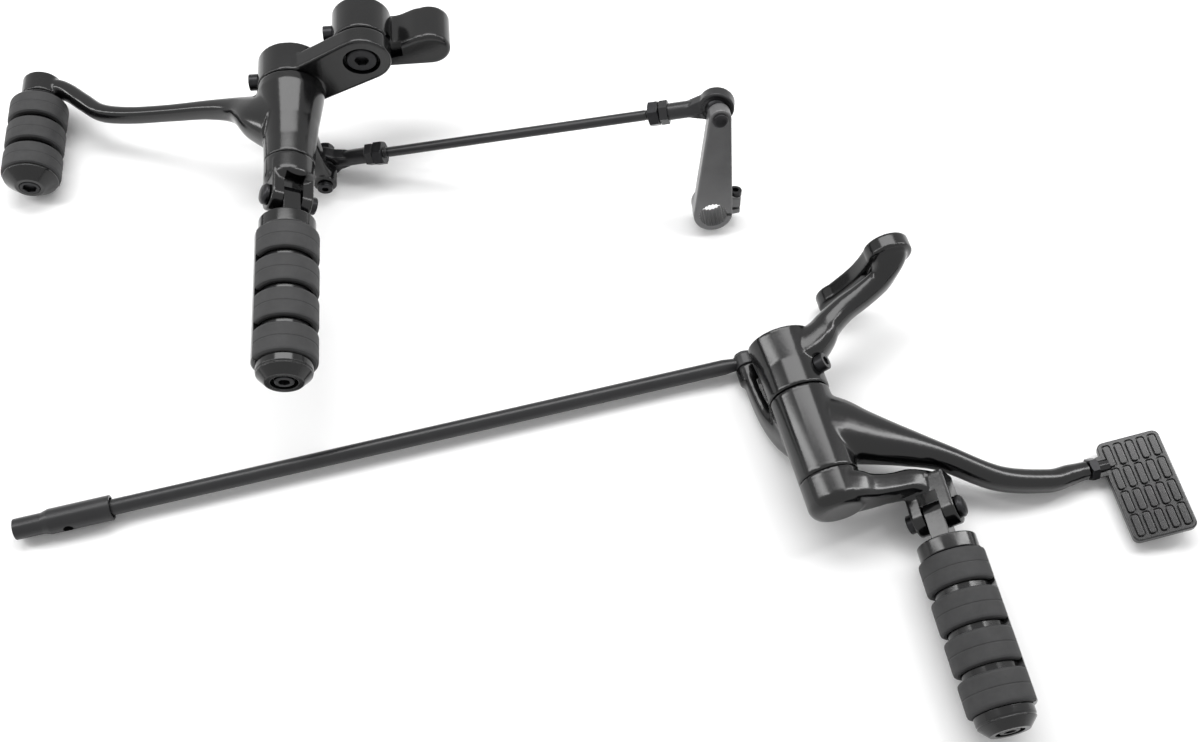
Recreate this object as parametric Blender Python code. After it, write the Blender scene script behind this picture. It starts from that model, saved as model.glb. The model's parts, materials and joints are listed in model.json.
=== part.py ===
"""Motorcycle forward controls: a brake side with pedal and rod, a shift side with toe lever and linkage.

Each side is modelled in its own axle frame: X to the right along the motorcycle, Y up, and Z outboard
along the pivot axle. The brake side's front is +X and the shift side's front is -X. Both sides lie on
the floor as when they are laid out before fitting. Metres throughout.
"""
import math

import bmesh
import bpy
from mathutils import Matrix, Vector

for old_object in list(bpy.data.objects):
    bpy.data.objects.remove(old_object, do_unlink=True)

# Clearances and fineness
GAP = 0.0003
SHARP_ANGLE = math.radians(35)
SEGMENTS = 20
FINE_SEGMENTS = 10
SECTION_POINTS = 12

# How the two sides lie on the floor
SHIFT_OFFSET_X = -0.2529
SHIFT_OFFSET_Y = 0.2743
SHIFT_YAW = math.radians(-9.4)
BRAKE_AXLE_HEIGHT = 0.030
SHIFT_AXLE_HEIGHT = 0.060

# Pivot axle, shared by both sides
AXLE_RADIUS = 0.0095
AXLE_BORE = AXLE_RADIUS + GAP
BUSH_RADIUS = 0.0117
BUSH_LENGTH = 0.016
BUSH_INSET = 0.001
HUB_BORE = BUSH_RADIUS + GAP
LOCK_SCREW_RADIUS = 0.003
LOCK_SCREW_HEAD = 0.00525
LOCK_SCREW_HEAD_HEIGHT = 0.006
LOCK_DIMPLE_DEPTH = 0.004

# Folding footpeg, measured from its hinge pin outboard
PEG_COLLAR_START = 0.017
PEG_COLLAR_RADIUS = 0.017
PEG_COLLAR_WIDTH = 0.009
PEG_SLEEVE_RADIUS = 0.0155
PEG_RING_RADIUS = 0.01925
PEG_RING_WIDTH = 0.019
PEG_RING_SPACE = 0.004
PEG_RING_COUNT = 4
PEG_SPINE_HALF_ANGLE = math.radians(31)
PEG_SPINE_RADIUS = 0.0190
PEG_CAP_RADIUS = 0.0165
PEG_CAP_FACE_RADIUS = 0.01125
PEG_CAP_BAND = 0.005
PEG_CAP_LENGTH = 0.0112
PEG_CAP_RECESS_RADIUS = 0.008
PEG_CAP_RECESS_DEPTH = 0.0052
PEG_SCREW_HEAD = 0.00575
PEG_SCREW_HEAD_HEIGHT = 0.0045
PEG_SCREW_RADIUS = 0.004
PEG_SCREW_LENGTH = 0.025
TONGUE_WIDTH = 0.011
TONGUE_RADIUS = 0.0075
HINGE_PIN_RADIUS = 0.004
HINGE_PIN_HEAD = 0.0065
HINGE_PIN_HEAD_HEIGHT = 0.004
HINGE_NUT_RADIUS = 0.0055
HINGE_NUT_HEIGHT = 0.004
CLEVIS_SLOT = 0.012
CLEVIS_WIDTH = 0.026
CLEVIS_RADIUS = 0.0095
CLEVIS_THROAT = 0.0115
CLEVIS_DEPTH = 0.022
CLEVIS_ROLL = math.radians(32)
RING_EDGE = 0.0016
BRAKE_PEG_AT = (0.0551, -0.0106, 0.0863)
BRAKE_PEG_YAW = math.radians(-3)
SHIFT_PEG_AT = (-0.0005, 0.0, 0.0840)
SWAP_X_AND_Z = Matrix(((0, 0, 1, 0), (0, 1, 0, 0), (1, 0, 0, 0), (0, 0, 0, 1)))

# Brake side, bracket
BRAKE_TUBE_RADIUS = 0.0185
BRAKE_TUBE_FAR_RADIUS = 0.0200
BRAKE_TUBE_LENGTH = 0.038
BRAKE_AXLE_REACH = 0.030
BRAKE_LOCK_PLACE = 0.012
BRAKE_LOCK_ANGLE = math.radians(40)
FLANGE_FACE = 0.063
FLANGE_THICKNESS = 0.010
FLANGE_EDGE = 0.0014
FLANGE_LOWER = (0.049, -0.0173)
FLANGE_LOWER_RADIUS = 0.0125
FLANGE_UPPER = (0.074, 0.026)
FLANGE_UPPER_RADIUS = 0.014
FLANGE_WAIST = 0.0087
FLANGE_HOLE_RADIUS = 0.00525
FLANGE_BLIND_DEPTH = 0.014

# Each arm is a row of stations, measured from the axle: x, y, z, width across and height
BRACKET_ARM = [(0.000, 0.001, -0.0240, 0.026, 0.028), (0.011, 0.003, -0.0265, 0.024, 0.025),
               (0.022, 0.005, -0.0325, 0.0195, 0.0215), (0.030, 0.006, -0.0390, 0.0165, 0.0195),
               (0.042, 0.008, -0.0460, 0.0148, 0.018), (0.056, 0.011, -0.0515, 0.0142, 0.018),
               (0.068, 0.016, -0.0570, 0.0145, 0.0195), (0.074, 0.025, -0.0640, 0.019, 0.023),
               (0.074, 0.025, -0.0680, 0.021, 0.023)]

# Brake side, pedal, pad and rod
BRAKE_HUB_RADIUS = 0.018
BRAKE_HUB_END_RADIUS = 0.0175
BRAKE_HUB_LENGTH = 0.0536
BRAKE_SUPPORT_LENGTH = 0.0217
SUPPORT_EDGE = 0.0045
SUPPORT_ARM = [(0.000, 0.0000, 0.0640, 0.0195, 0.0290), (0.010, -0.0010, 0.0650, 0.0172, 0.0250),
               (0.020, -0.0030, 0.0658, 0.0145, 0.0205), (0.033, -0.0055, 0.0655, 0.0132, 0.0190),
               (0.045, -0.0085, 0.0655, 0.0140, 0.0190), (0.055, -0.0105, 0.0685, 0.0150, 0.0185),
               (0.062, -0.0110, 0.0720, 0.0140, 0.0180)]
NECK_END = (0.155, -0.0222, 0.078)
PEDAL_ARM = [(0.006, 0.000, 0.0265, 0.044, 0.0245), (0.016, -0.001, 0.0285, 0.038, 0.0245),
             (0.026, -0.0015, 0.0330, 0.0315, 0.0235), (0.0382, -0.0025, 0.0390, 0.0262, 0.0220),
             (0.0525, -0.0050, 0.0454, 0.0205, 0.0200), (0.0715, -0.0090, 0.0548, 0.0146, 0.0170),
             (0.099, -0.0150, 0.0722, 0.0140, 0.0150), (0.128, -0.0198, 0.0792, 0.0132, 0.0136),
             (0.142, -0.0214, 0.0786, 0.0122, 0.0124), (0.150, -0.0222, 0.0780, 0.0108, 0.0108),
             (*NECK_END, 0.0102, 0.0102)]
ROD_LEVER = [(-0.008, -0.0085, 0.0260, 0.013, 0.030), (-0.0140, -0.0150, 0.0150, 0.0100, 0.022),
             (-0.0178, -0.0190, 0.001, 0.0085, 0.0155), (-0.0196, -0.0205, -0.016, 0.0075, 0.0135),
             (-0.0196, -0.0210, -0.030, 0.0075, 0.012)]
NECK_STUD_RADIUS = 0.0035
NECK_STUD_LENGTH = 0.013
PAD_NUT_FLATS = 0.012
PAD_NUT_HEIGHT = 0.005
PAD_BOSS_RADIUS = 0.0065
PAD_BOSS_LENGTH = 0.012
PAD_CENTRE = (0.1830, -0.0205, 0.0963)
PAD_WIDTH = 0.037
PAD_LENGTH = 0.063
PAD_THICKNESS = 0.005
PAD_CORNER = 0.004
PAD_TILT = math.radians(10)
PAD_YAW = math.radians(-2.4)
PAD_RIB_COLUMNS = 5
PAD_RIB_ROWS = 4
PAD_RIB_WIDTH = 0.0044
PAD_RIB_LENGTH = 0.0138
PAD_RIB_HEIGHT = 0.0013
PAD_RIB_PITCH_X = 0.0068
PAD_RIB_PITCH_Z = 0.0148
ROD_PIN_AT = (-0.0186, -0.0220)
ROD_PIN_RADIUS = 0.0035
ROD_PIN_BOSS_RADIUS = 0.0072
ROD_PIN_BOSS_START = 0.026
ROD_PIN_BOSS_END = 0.0365
ROD_PIN_SEAT_DEPTH = 0.0075
BRAKE_ROD_RADIUS = 0.00475
BRAKE_ROD_EYE_RADIUS = 0.007
BRAKE_ROD_EYE_WIDTH = 0.008
ROD_CLIP_RADIUS = 0.0055
ROD_CLIP_THICKNESS = 0.0012
BRAKE_ROD_END = -0.4223
COUPLER_NECK_LENGTH = 0.016
COUPLER_CONE_LENGTH = 0.004
COUPLER_LENGTH = 0.0554
COUPLER_NECK_RADIUS = 0.00625
COUPLER_RADIUS = 0.0075
COUPLER_MOUTH_RADIUS = 0.0060
COUPLER_MOUTH_DEPTH = 0.004
COUPLER_THREAD_RADIUS = 0.0035
COUPLER_HOLE_RADIUS = 0.003
COUPLER_HOLE_AT = 0.030
COUPLER_ENGAGEMENT = 0.020

# Shift side, bracket and frame clamp
SHIFT_TUBE_RADIUS = 0.021
SHIFT_TUBE_LENGTH = 0.0225
SHIFT_AXLE_REACH = 0.0190
SHIFT_LOCK_PLACE = 0.009
MOUNT_AT = (0.048, 0.022)
MOUNT_RADIUS = 0.0185
MOUNT_PLATE = 0.013
MOUNT_BOLT_RADIUS = 0.005
MOUNT_BOLT_HEAD = 0.0095
MOUNT_BOLT_HEAD_HEIGHT = 0.0055
MOUNT_RECESS_RADIUS = 0.0115
MOUNT_RECESS_DEPTH = 0.007
MOUNT_BOLT_LENGTH = 0.028
CLAMP_END = 0.038
CLAMP_SCREW_AT = 0.025
EAR_AT = (0.090, 0.013)
EAR_RADIUS = 0.013
EAR_TOP = 0.0195
EAR_NEAR = 0.014
EAR_FAR = 0.0405

# Shift side, lever and toe peg
SHIFT_HUB_RADIUS = 0.021
SHIFT_HUB_END_RADIUS = 0.0155
SHIFT_HUB_LENGTH = 0.0583
SHIFT_HUB_WAIST = [(0.0210, 0.006), (0.0198, 0.014), (0.0176, 0.028), (0.0161, 0.044)]
SHIFT_SUPPORT_LENGTH = 0.0177
TOE_AT = (-0.1755, -0.0414)
TOE_BOSS_RADIUS = 0.0125
TOE_BOSS_START = -0.0564
TOE_BOSS_END = -0.0413
TOE_ARM = [(-0.1715, -0.0409, -0.0492, 0.0125, 0.0150), (-0.164, -0.0400, -0.0484, 0.0118, 0.0145),
           (-0.156, -0.0395, -0.0442, 0.0110, 0.0140), (-0.145, -0.0385, -0.0343, 0.0110, 0.0132),
           (-0.132, -0.0370, -0.0235, 0.0105, 0.0125), (-0.112, -0.0330, -0.0165, 0.0095, 0.0120),
           (-0.084, -0.0250, -0.0095, 0.0092, 0.0120), (-0.056, -0.0155, -0.0020, 0.0105, 0.0135),
           (-0.036, -0.0085, 0.0060, 0.0150, 0.0175), (-0.020, -0.0035, 0.0170, 0.0260, 0.0240),
           (-0.006, 0.0000, 0.0240, 0.0380, 0.0260)]
TOE_COLLAR_LENGTH = 0.005
TOE_COLLAR_RADIUS = 0.0172
TOE_SLEEVE_RADIUS = 0.014
TOE_RING_RADIUS = 0.0185
TOE_RING_WIDTH = 0.0170
TOE_RING_SPACE = 0.0036
TOE_RING_COUNT = 3
TOE_CAP_RADIUS = 0.017
TOE_CAP_FACE_RADIUS = 0.009
TOE_CAP_LENGTH = 0.0075
TOE_BOLT_RADIUS = 0.004
TOE_BOLT_HEAD = 0.0062
TOE_BOLT_HEAD_HEIGHT = 0.004
TOE_BOLT_REACH = 0.012

# Shift side, linkage
LINK_BOSS_RADIUS = 0.0075
LINK_BOSS_END = 0.0397
LINK_BOSS_START = 0.0263
LINK_BOLT_RADIUS = 0.003
LINK_BOLT_HEAD = 0.005
LINK_BOLT_HEAD_HEIGHT = 0.003
LINK_NUT_FLATS = 0.010
LINK_NUT_HEIGHT = 0.005
FRONT_BALL_AT = (0.0135, -0.0486)
LINK_ARM = [(0.006, -0.006, 0.028, 0.018, 0.016), (0.009, -0.018, 0.0300, 0.0150, 0.0125),
            (0.0115, -0.032, 0.0330, 0.0125, 0.0105), (0.0135, -0.0466, 0.0330, 0.0115, 0.0105)]
REAR_BALL_AT = (0.2642, 0.0210, 0.0513)
BALL_RADIUS = 0.0076
BALL_WIDTH = 0.012
EYE_RADIUS = 0.011
EYE_WIDTH = 0.008
SHANK_RADIUS = 0.00525
SHANK_LENGTH = 0.030
SHANK_NECK = [(0.004, 0.0086, 0.0034), (0.009, 0.0068, 0.0036), (0.0185, 0.0038, 0.0038)]
SHANK_HEX_FLATS = 0.0130
SHANK_HEX_LENGTH = 0.0055
JAM_NUT_FLATS = 0.0140
JAM_NUT_LENGTH = 0.0065
SHIFT_ROD_RADIUS = 0.00325
SHIFT_ROD_ENGAGEMENT = 0.017

# Shift side, arm of the gearbox shaft
STUD_TILT = math.radians(17)
ARM_SWING = math.radians(-1.6)
ARM_LENGTH = 0.073
ARM_THICKNESS = 0.010
ARM_SMALL_RADIUS = 0.007
ARM_EYE_BOSS_RADIUS = 0.005
ARM_EYE_BOSS_HEIGHT = 0.0013
ARM_BIG_RADIUS = 0.0125
ARM_BIG_WIDTH = 0.017
ARM_BORE_RADIUS = 0.0085
ARM_SPLINE_DEPTH = 0.0005
ARM_SPLINE_COUNT = 24
ARM_SLOT = 0.002
ARM_LUG_REACH = 0.0185
ARM_LUG_HALF = 0.009
STUD_RADIUS = 0.003
STUD_HEAD = 0.0048
STUD_HEAD_HEIGHT = 0.0022
STUD_FLANGE = 0.0052
STUD_FLANGE_HEIGHT = 0.004
PINCH_RADIUS = 0.0025
PINCH_HEAD = 0.0042
PINCH_HEAD_HEIGHT = 0.004


def material(name, colour, roughness, metallic):
    """A plain principled surface."""
    made = bpy.data.materials.new(name)
    made.use_nodes = True
    surface = made.node_tree.nodes["Principled BSDF"]
    surface.inputs["Base Color"].default_value = (*colour, 1)
    surface.inputs["Roughness"].default_value = roughness
    surface.inputs["Metallic"].default_value = metallic
    made.diffuse_color = (*colour, 1)
    return made


GLOSS_BLACK = material("gloss_black", (0.012, 0.012, 0.013), 0.12, 0.0)
SATIN_BLACK = material("satin_black", (0.035, 0.035, 0.036), 0.35, 0.6)
RUBBER = material("rubber", (0.030, 0.030, 0.031), 0.62, 0.0)
BRONZE = material("bronze", (0.45, 0.30, 0.14), 0.40, 1.0)


def finish(work):
    """Close a bmesh with its faces pointing out and return it as a mesh."""
    bmesh.ops.recalc_face_normals(work, faces=work.faces)
    mesh = bpy.data.meshes.new("shape")
    work.to_mesh(mesh)
    work.free()
    return mesh


def lathe(profile, segments=SEGMENTS, start=0.0, turn=math.tau):
    """Turn a profile of (radius, height) points about Z.

    A profile that ends on the axis makes a solid; one that stays off it is a closed ring section.
    """
    work = bmesh.new()
    whole = turn > math.tau - 0.001
    columns = []
    on_axis = {}
    for step in range(segments if whole else segments + 1):
        angle = start + turn * step / segments
        column = []
        for index, (radius, height) in enumerate(profile):
            if radius == 0:
                if index not in on_axis:
                    on_axis[index] = work.verts.new((0, 0, height))
                column.append(on_axis[index])
            else:
                column.append(work.verts.new((radius * math.cos(angle), radius * math.sin(angle), height)))
        columns.append(column)
    solid = profile[0][0] == 0
    pairs = len(profile) - 1 if solid else len(profile)
    for step in range(segments):
        near = columns[step]
        far = columns[(step + 1) % len(columns)]
        for index in range(pairs):
            other = (index + 1) % len(profile)
            corners = list(dict.fromkeys((near[index], far[index], far[other], near[other])))
            work.faces.new(corners)
    if not whole:
        work.faces.new(columns[0])
        work.faces.new(columns[-1])
    return finish(work)


def cylinder(radius, low, high, segments=SEGMENTS):
    """A round bar about Z."""
    return lathe([(0, low), (radius, low), (radius, high), (0, high)], segments)


def chamfered(radius, low, high, chamfer, segments=SEGMENTS):
    """A round bar about Z with both rims chamfered."""
    return lathe([(0, low), (radius - chamfer, low), (radius, low + chamfer), (radius, high - chamfer),
                  (radius - chamfer, high), (0, high)], segments)


def extrude(outline, low, high, bevel=0.0):
    """A prism of a flat (x, y) outline between two heights, its rims bevelled."""
    work = bmesh.new()
    base = work.faces.new([work.verts.new((x, y, low)) for x, y in outline])
    raised = bmesh.ops.extrude_face_region(work, geom=[base])["geom"]
    top = [item for item in raised if isinstance(item, bmesh.types.BMVert)]
    bmesh.ops.translate(work, verts=top, vec=(0, 0, high - low))
    if bevel:
        rims = [edge for edge in work.edges if abs(edge.verts[0].co.z - edge.verts[1].co.z) < 1e-7]
        bmesh.ops.bevel(work, geom=rims, offset=bevel, segments=1, affect="EDGES")
    return finish(work)


def loft(rings):
    """Skin a row of equal rings of points and close both ends."""
    work = bmesh.new()
    rows = [[work.verts.new(point) for point in ring] for ring in rings]
    for near, far in zip(rows, rows[1:]):
        for index in range(len(near)):
            other = (index + 1) % len(near)
            work.faces.new((near[index], near[other], far[other], far[index]))
    work.faces.new(rows[0])
    work.faces.new(rows[-1])
    return finish(work)


def between(values, share):
    """Point on a smooth curve through four rows of values, between the second and third."""
    before, first, second, after = values
    return [0.5 * (2 * b + (c - a) * share + (2 * a - 5 * b + 4 * c - d) * share ** 2
                   + (3 * b - a - 3 * c + d) * share ** 3)
            for a, b, c, d in zip(before, first, second, after)]


def forged(stations, power=2.6, steps=2):
    """A forged arm through stations of (x, y, z, width, height).

    Width lies across the arm in the X-Z plane and height is square to it. The section is a squarish oval.
    """
    path = []
    for index in range(len(stations) - 1):
        rows = [stations[max(index - 1, 0)], stations[index], stations[index + 1],
                stations[min(index + 2, len(stations) - 1)]]
        path += [between(rows, step / steps) for step in range(steps)]
    path.append(list(stations[-1]))
    rings = []
    for index, row in enumerate(path):
        ahead = Vector(path[min(index + 1, len(path) - 1)][:3])
        behind = Vector(path[max(index - 1, 0)][:3])
        along = (ahead - behind).normalized()
        side = along.cross(Vector((0, 1, 0))).normalized()
        if along.cross(Vector((0, 1, 0))).length < 0.5:
            side = Vector((0, 0, 1)) - along * along.z
            side.normalize()
        up = side.cross(along)
        ring = []
        for step in range(SECTION_POINTS):
            angle = math.tau * step / SECTION_POINTS
            across = math.copysign(abs(math.cos(angle)) ** (2 / power), math.cos(angle))
            rise = math.copysign(abs(math.sin(angle)) ** (2 / power), math.sin(angle))
            ring.append(Vector(row[:3]) + side * across * row[3] / 2 + up * rise * row[4] / 2)
        rings.append(ring)
    return loft(rings)


def arc(centre, radius, first, last, steps):
    """Points of a circular arc, both ends included."""
    return [(centre[0] + radius * math.cos(first + (last - first) * step / steps),
             centre[1] + radius * math.sin(first + (last - first) * step / steps)) for step in range(steps + 1)]


def hexagon(flats):
    """Corners of a hexagon by its width across flats."""
    return arc((0, 0), flats / math.sqrt(3), 0, math.tau * 5 / 6, 5)


def link_outline(first, first_radius, second, second_radius, steps=12):
    """Outline of two round ends and the straight sides that touch both."""
    run = Vector(second) - Vector(first)
    heading = math.atan2(run.y, run.x)
    spread = math.acos((first_radius - second_radius) / run.length)
    return (arc(second, second_radius, heading - spread, heading + spread, steps)
            + arc(first, first_radius, heading + spread, heading + math.tau - spread, steps))


def waisted_outline(first, first_radius, second, second_radius, waist, steps=8):
    """Outline of two round ends joined by a waist that narrows smoothly."""
    run = Vector(second) - Vector(first)
    heading = run.normalized()
    side = Vector((-heading.y, heading.x))
    turn = math.atan2(run.y, run.x)
    open_angle = math.radians(58)
    points = arc(second, second_radius, turn - math.pi + open_angle, turn + math.pi - open_angle, 2 * steps)
    start = run.length - second_radius * math.cos(open_angle)
    stop = first_radius * math.cos(open_angle)
    half_start = second_radius * math.sin(open_angle)
    half_stop = first_radius * math.sin(open_angle)

    def flank(sign, first_share, last_share):
        places = []
        for step in range(1, steps):
            share = first_share + (last_share - first_share) * step / steps
            edge = half_start + (half_stop - half_start) * share
            half = waist + (edge - waist) * abs(2 * share - 1) ** 1.7
            spot = Vector(first) + heading * (start + (stop - start) * share) + side * sign * half
            places.append((spot.x, spot.y))
        return places

    points += flank(1, 0, 1)
    points += arc(first, first_radius, turn + open_angle, turn + math.tau - open_angle, 2 * steps)
    points += flank(-1, 1, 0)
    return points


def moved(mesh, matrix):
    """The mesh carried by a matrix."""
    mesh.transform(matrix)
    return mesh


def at(x=0.0, y=0.0, z=0.0):
    """A shift without a turn."""
    return Matrix.Translation((x, y, z))


def turned(angle, axis):
    """A turn about one of the frame's axes."""
    return Matrix.Rotation(angle, 4, axis)


def combine(body, tools, operation):
    """The body fused with, or cut by, the tool meshes."""
    target = bpy.data.objects.new("target", body)
    bpy.context.scene.collection.objects.link(target)
    helpers = []
    for tool in tools:
        helper = bpy.data.objects.new("tool", tool)
        bpy.context.scene.collection.objects.link(helper)
        step = target.modifiers.new("step", "BOOLEAN")
        step.operation = operation
        step.solver = "EXACT"
        step.object = helper
        helpers.append(helper)
    graph = bpy.context.evaluated_depsgraph_get()
    result = bpy.data.meshes.new_from_object(target.evaluated_get(graph))
    for helper in [target, *helpers]:
        bpy.data.objects.remove(helper, do_unlink=True)
    return result


def fuse(body, *tools):
    """Several shapes as one body."""
    return combine(body, tools, "UNION")


def cut(body, *tools):
    """A body with the tool shapes taken out."""
    return combine(body, tools, "DIFFERENCE")


def frame(name, parent, matrix=None):
    """An empty that carries the pieces of one side or one moving part."""
    empty = bpy.data.objects.new(name, None)
    bpy.context.scene.collection.objects.link(empty)
    empty.parent = parent
    empty.matrix_basis = matrix or Matrix()
    empty.empty_display_size = 0.02
    return empty


def piece(name, mesh, surface, parent):
    """One physical piece, shaded smooth with its hard edges kept."""
    mesh.name = name
    mesh.materials.clear()
    mesh.materials.append(surface)
    mesh.shade_smooth()
    mesh.set_sharp_from_angle(angle=SHARP_ANGLE)
    made = bpy.data.objects.new(name, mesh)
    bpy.context.scene.collection.objects.link(made)
    made.parent = parent
    return made


def socket_screw(radius, length, head, head_height, socket_flats, segments=FINE_SEGMENTS):
    """A cap screw whose head sits on Z = 0 and whose shank runs down -Z."""
    rim = 0.12 * head
    body = lathe([(0, -length), (radius - 0.0004, -length), (radius, 0.0004 - length), (radius, 0),
                  (head, 0), (head, head_height - rim), (head - rim, head_height), (0, head_height)], segments)
    socket = extrude(hexagon(socket_flats), 0.4 * head_height, head_height + 0.001)
    return cut(body, socket)


def hex_nut(flats, length, bore, segments=FINE_SEGMENTS):
    """A hexagon nut from Z = 0 up, its corners chamfered by a turned blank."""
    corner = flats / math.sqrt(3)
    chamfer = 0.45 * (corner - flats / 2) + 0.0002
    reach = corner + 0.0001
    blank = lathe([(bore, 0), (corner - chamfer, 0), (reach, chamfer), (reach, length - chamfer),
                   (corner - chamfer, length), (bore, length)], segments)
    stock = extrude(hexagon(flats), -0.001, length + 0.001)
    return combine(blank, [stock], "INTERSECT")


def clevis(bore):
    """Both ears of a footpeg hinge, in the peg's frame, with their slot and pin hole."""
    outline = arc((0, 0), CLEVIS_RADIUS, -math.pi / 2, math.pi / 2, 12)
    outline += [(-CLEVIS_DEPTH, CLEVIS_RADIUS), (-CLEVIS_DEPTH, -CLEVIS_RADIUS)]
    block = moved(extrude(outline, -CLEVIS_WIDTH / 2, CLEVIS_WIDTH / 2, 0.0008), SWAP_X_AND_Z)
    block.flip_normals()
    reach = CLEVIS_RADIUS + 0.004
    slot_outline = [(-CLEVIS_SLOT / 2, -reach), (CLEVIS_SLOT / 2, -reach), (CLEVIS_SLOT / 2, reach),
                    (-CLEVIS_SLOT / 2, reach)]
    slot = extrude(slot_outline, -CLEVIS_THROAT, reach)
    hole = moved(cylinder(bore, -CLEVIS_WIDTH, CLEVIS_WIDTH, FINE_SEGMENTS), turned(math.pi / 2, "Y"))
    return block, slot, hole


def footpeg(side, root, hinge, front, head_sign):
    """A folding footpeg. front is the angle of its spine about the peg, head_sign the pin head's end."""
    swing = frame(side + "_peg_hinge", root, hinge)
    first_ring = PEG_COLLAR_START + PEG_COLLAR_WIDTH + 0.0005
    pitch = PEG_RING_WIDTH + PEG_RING_SPACE
    sleeve_end = first_ring + pitch * PEG_RING_COUNT - PEG_RING_SPACE

    collar = lathe([(0, PEG_COLLAR_START), (PEG_COLLAR_RADIUS - 0.001, PEG_COLLAR_START),
                    (PEG_COLLAR_RADIUS, PEG_COLLAR_START + 0.001),
                    (PEG_COLLAR_RADIUS, PEG_COLLAR_START + PEG_COLLAR_WIDTH),
                    (PEG_SLEEVE_RADIUS, PEG_COLLAR_START + PEG_COLLAR_WIDTH),
                    (PEG_SLEEVE_RADIUS, sleeve_end), (0, sleeve_end)])
    spine_root = PEG_SLEEVE_RADIUS - 0.002
    spine_low = PEG_COLLAR_START + PEG_COLLAR_WIDTH - 0.002
    spine = lathe([(spine_root, spine_low), (PEG_COLLAR_RADIUS - 0.0005, spine_low),
                   (PEG_SPINE_RADIUS, first_ring + 0.0015), (PEG_SPINE_RADIUS, sleeve_end - 0.001),
                   (PEG_SPINE_RADIUS - 0.001, sleeve_end), (spine_root, sleeve_end)],
                  6, front - PEG_SPINE_HALF_ANGLE, 2 * PEG_SPINE_HALF_ANGLE)
    outline = arc((0, 0), TONGUE_RADIUS, math.pi / 2, math.pi * 3 / 2, 10)
    neck = PEG_COLLAR_START + 0.003
    outline += [(neck, -TONGUE_RADIUS), (neck, TONGUE_RADIUS)]
    tongue = extrude(outline, -TONGUE_WIDTH / 2, TONGUE_WIDTH / 2)
    tongue = moved(tongue, SWAP_X_AND_Z)
    tongue.flip_normals()
    core = fuse(collar, spine, tongue)
    pin_hole = moved(cylinder(HINGE_PIN_RADIUS + GAP, -TONGUE_WIDTH, TONGUE_WIDTH, FINE_SEGMENTS),
                     turned(math.pi / 2, "Y"))
    screw_seat = sleeve_end + GAP + PEG_CAP_LENGTH - PEG_CAP_RECESS_DEPTH + GAP
    screw_bore = cylinder(PEG_SCREW_RADIUS + GAP, screw_seat - PEG_SCREW_LENGTH - GAP, sleeve_end + 0.001,
                          FINE_SEGMENTS)
    piece(side + "_peg_core", cut(core, pin_hole, screw_bore), GLOSS_BLACK, swing)

    opening = PEG_SPINE_HALF_ANGLE + 1.3 * GAP / PEG_SLEEVE_RADIUS
    for index in range(PEG_RING_COUNT):
        low = first_ring + pitch * index
        inner = PEG_SLEEVE_RADIUS + GAP
        high = low + PEG_RING_WIDTH
        section = [(inner, low), (PEG_RING_RADIUS - RING_EDGE, low), (PEG_RING_RADIUS, low + RING_EDGE),
                   (PEG_RING_RADIUS, high - RING_EDGE), (PEG_RING_RADIUS - RING_EDGE, high), (inner, high)]
        ring = lathe(section, 18, front + opening, math.tau - 2 * opening)
        piece(side + "_peg_rubber_" + str(index + 1), ring, RUBBER, swing)

    cap_low = sleeve_end + GAP
    cap_high = cap_low + PEG_CAP_LENGTH
    groove = 0.0005
    recess_floor = cap_high - PEG_CAP_RECESS_DEPTH
    cap = lathe([(PEG_SCREW_RADIUS + GAP, cap_low), (PEG_CAP_RADIUS, cap_low),
                 (PEG_CAP_RADIUS, cap_low + PEG_CAP_BAND - groove),
                 (PEG_CAP_RADIUS - groove, cap_low + PEG_CAP_BAND),
                 (PEG_CAP_RADIUS - groove, cap_low + PEG_CAP_BAND + groove),
                 (PEG_CAP_RADIUS - groove / 2, cap_low + PEG_CAP_BAND + 2 * groove),
                 (PEG_CAP_FACE_RADIUS + 0.0004, cap_high - 0.0004), (PEG_CAP_FACE_RADIUS - 0.0004, cap_high),
                 (PEG_CAP_RECESS_RADIUS, cap_high), (PEG_CAP_RECESS_RADIUS, recess_floor),
                 (PEG_SCREW_RADIUS + GAP, recess_floor)])
    piece(side + "_peg_cap", cap, GLOSS_BLACK, swing)
    screw = socket_screw(PEG_SCREW_RADIUS, PEG_SCREW_LENGTH, PEG_SCREW_HEAD, PEG_SCREW_HEAD_HEIGHT, 0.006)
    piece(side + "_peg_screw", moved(screw, at(z=screw_seat)), SATIN_BLACK, swing)

    seat = CLEVIS_WIDTH / 2 + GAP
    dome = HINGE_PIN_HEAD_HEIGHT
    tip = seat + HINGE_NUT_HEIGHT - 0.0005
    pin = lathe([(0, -tip), (HINGE_PIN_RADIUS, -tip), (HINGE_PIN_RADIUS, seat), (HINGE_PIN_HEAD, seat),
                 (HINGE_PIN_HEAD, seat + 0.5 * dome), (0.8 * HINGE_PIN_HEAD, seat + 0.85 * dome),
                 (0.4 * HINGE_PIN_HEAD, seat + dome), (0, seat + dome)], FINE_SEGMENTS)
    along_pin = hinge @ turned(head_sign * math.pi / 2, "Y")
    piece(side + "_hinge_pin", moved(pin, along_pin), SATIN_BLACK, root)
    bore = HINGE_PIN_RADIUS + GAP
    nut = lathe([(bore, -seat), (HINGE_NUT_RADIUS, -seat), (HINGE_NUT_RADIUS, 0.001 - seat - HINGE_NUT_HEIGHT),
                 (HINGE_NUT_RADIUS - 0.001, -seat - HINGE_NUT_HEIGHT), (bore, -seat - HINGE_NUT_HEIGHT)],
                FINE_SEGMENTS)
    piece(side + "_pin_nut", moved(nut, along_pin), SATIN_BLACK, root)
    return swing


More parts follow.
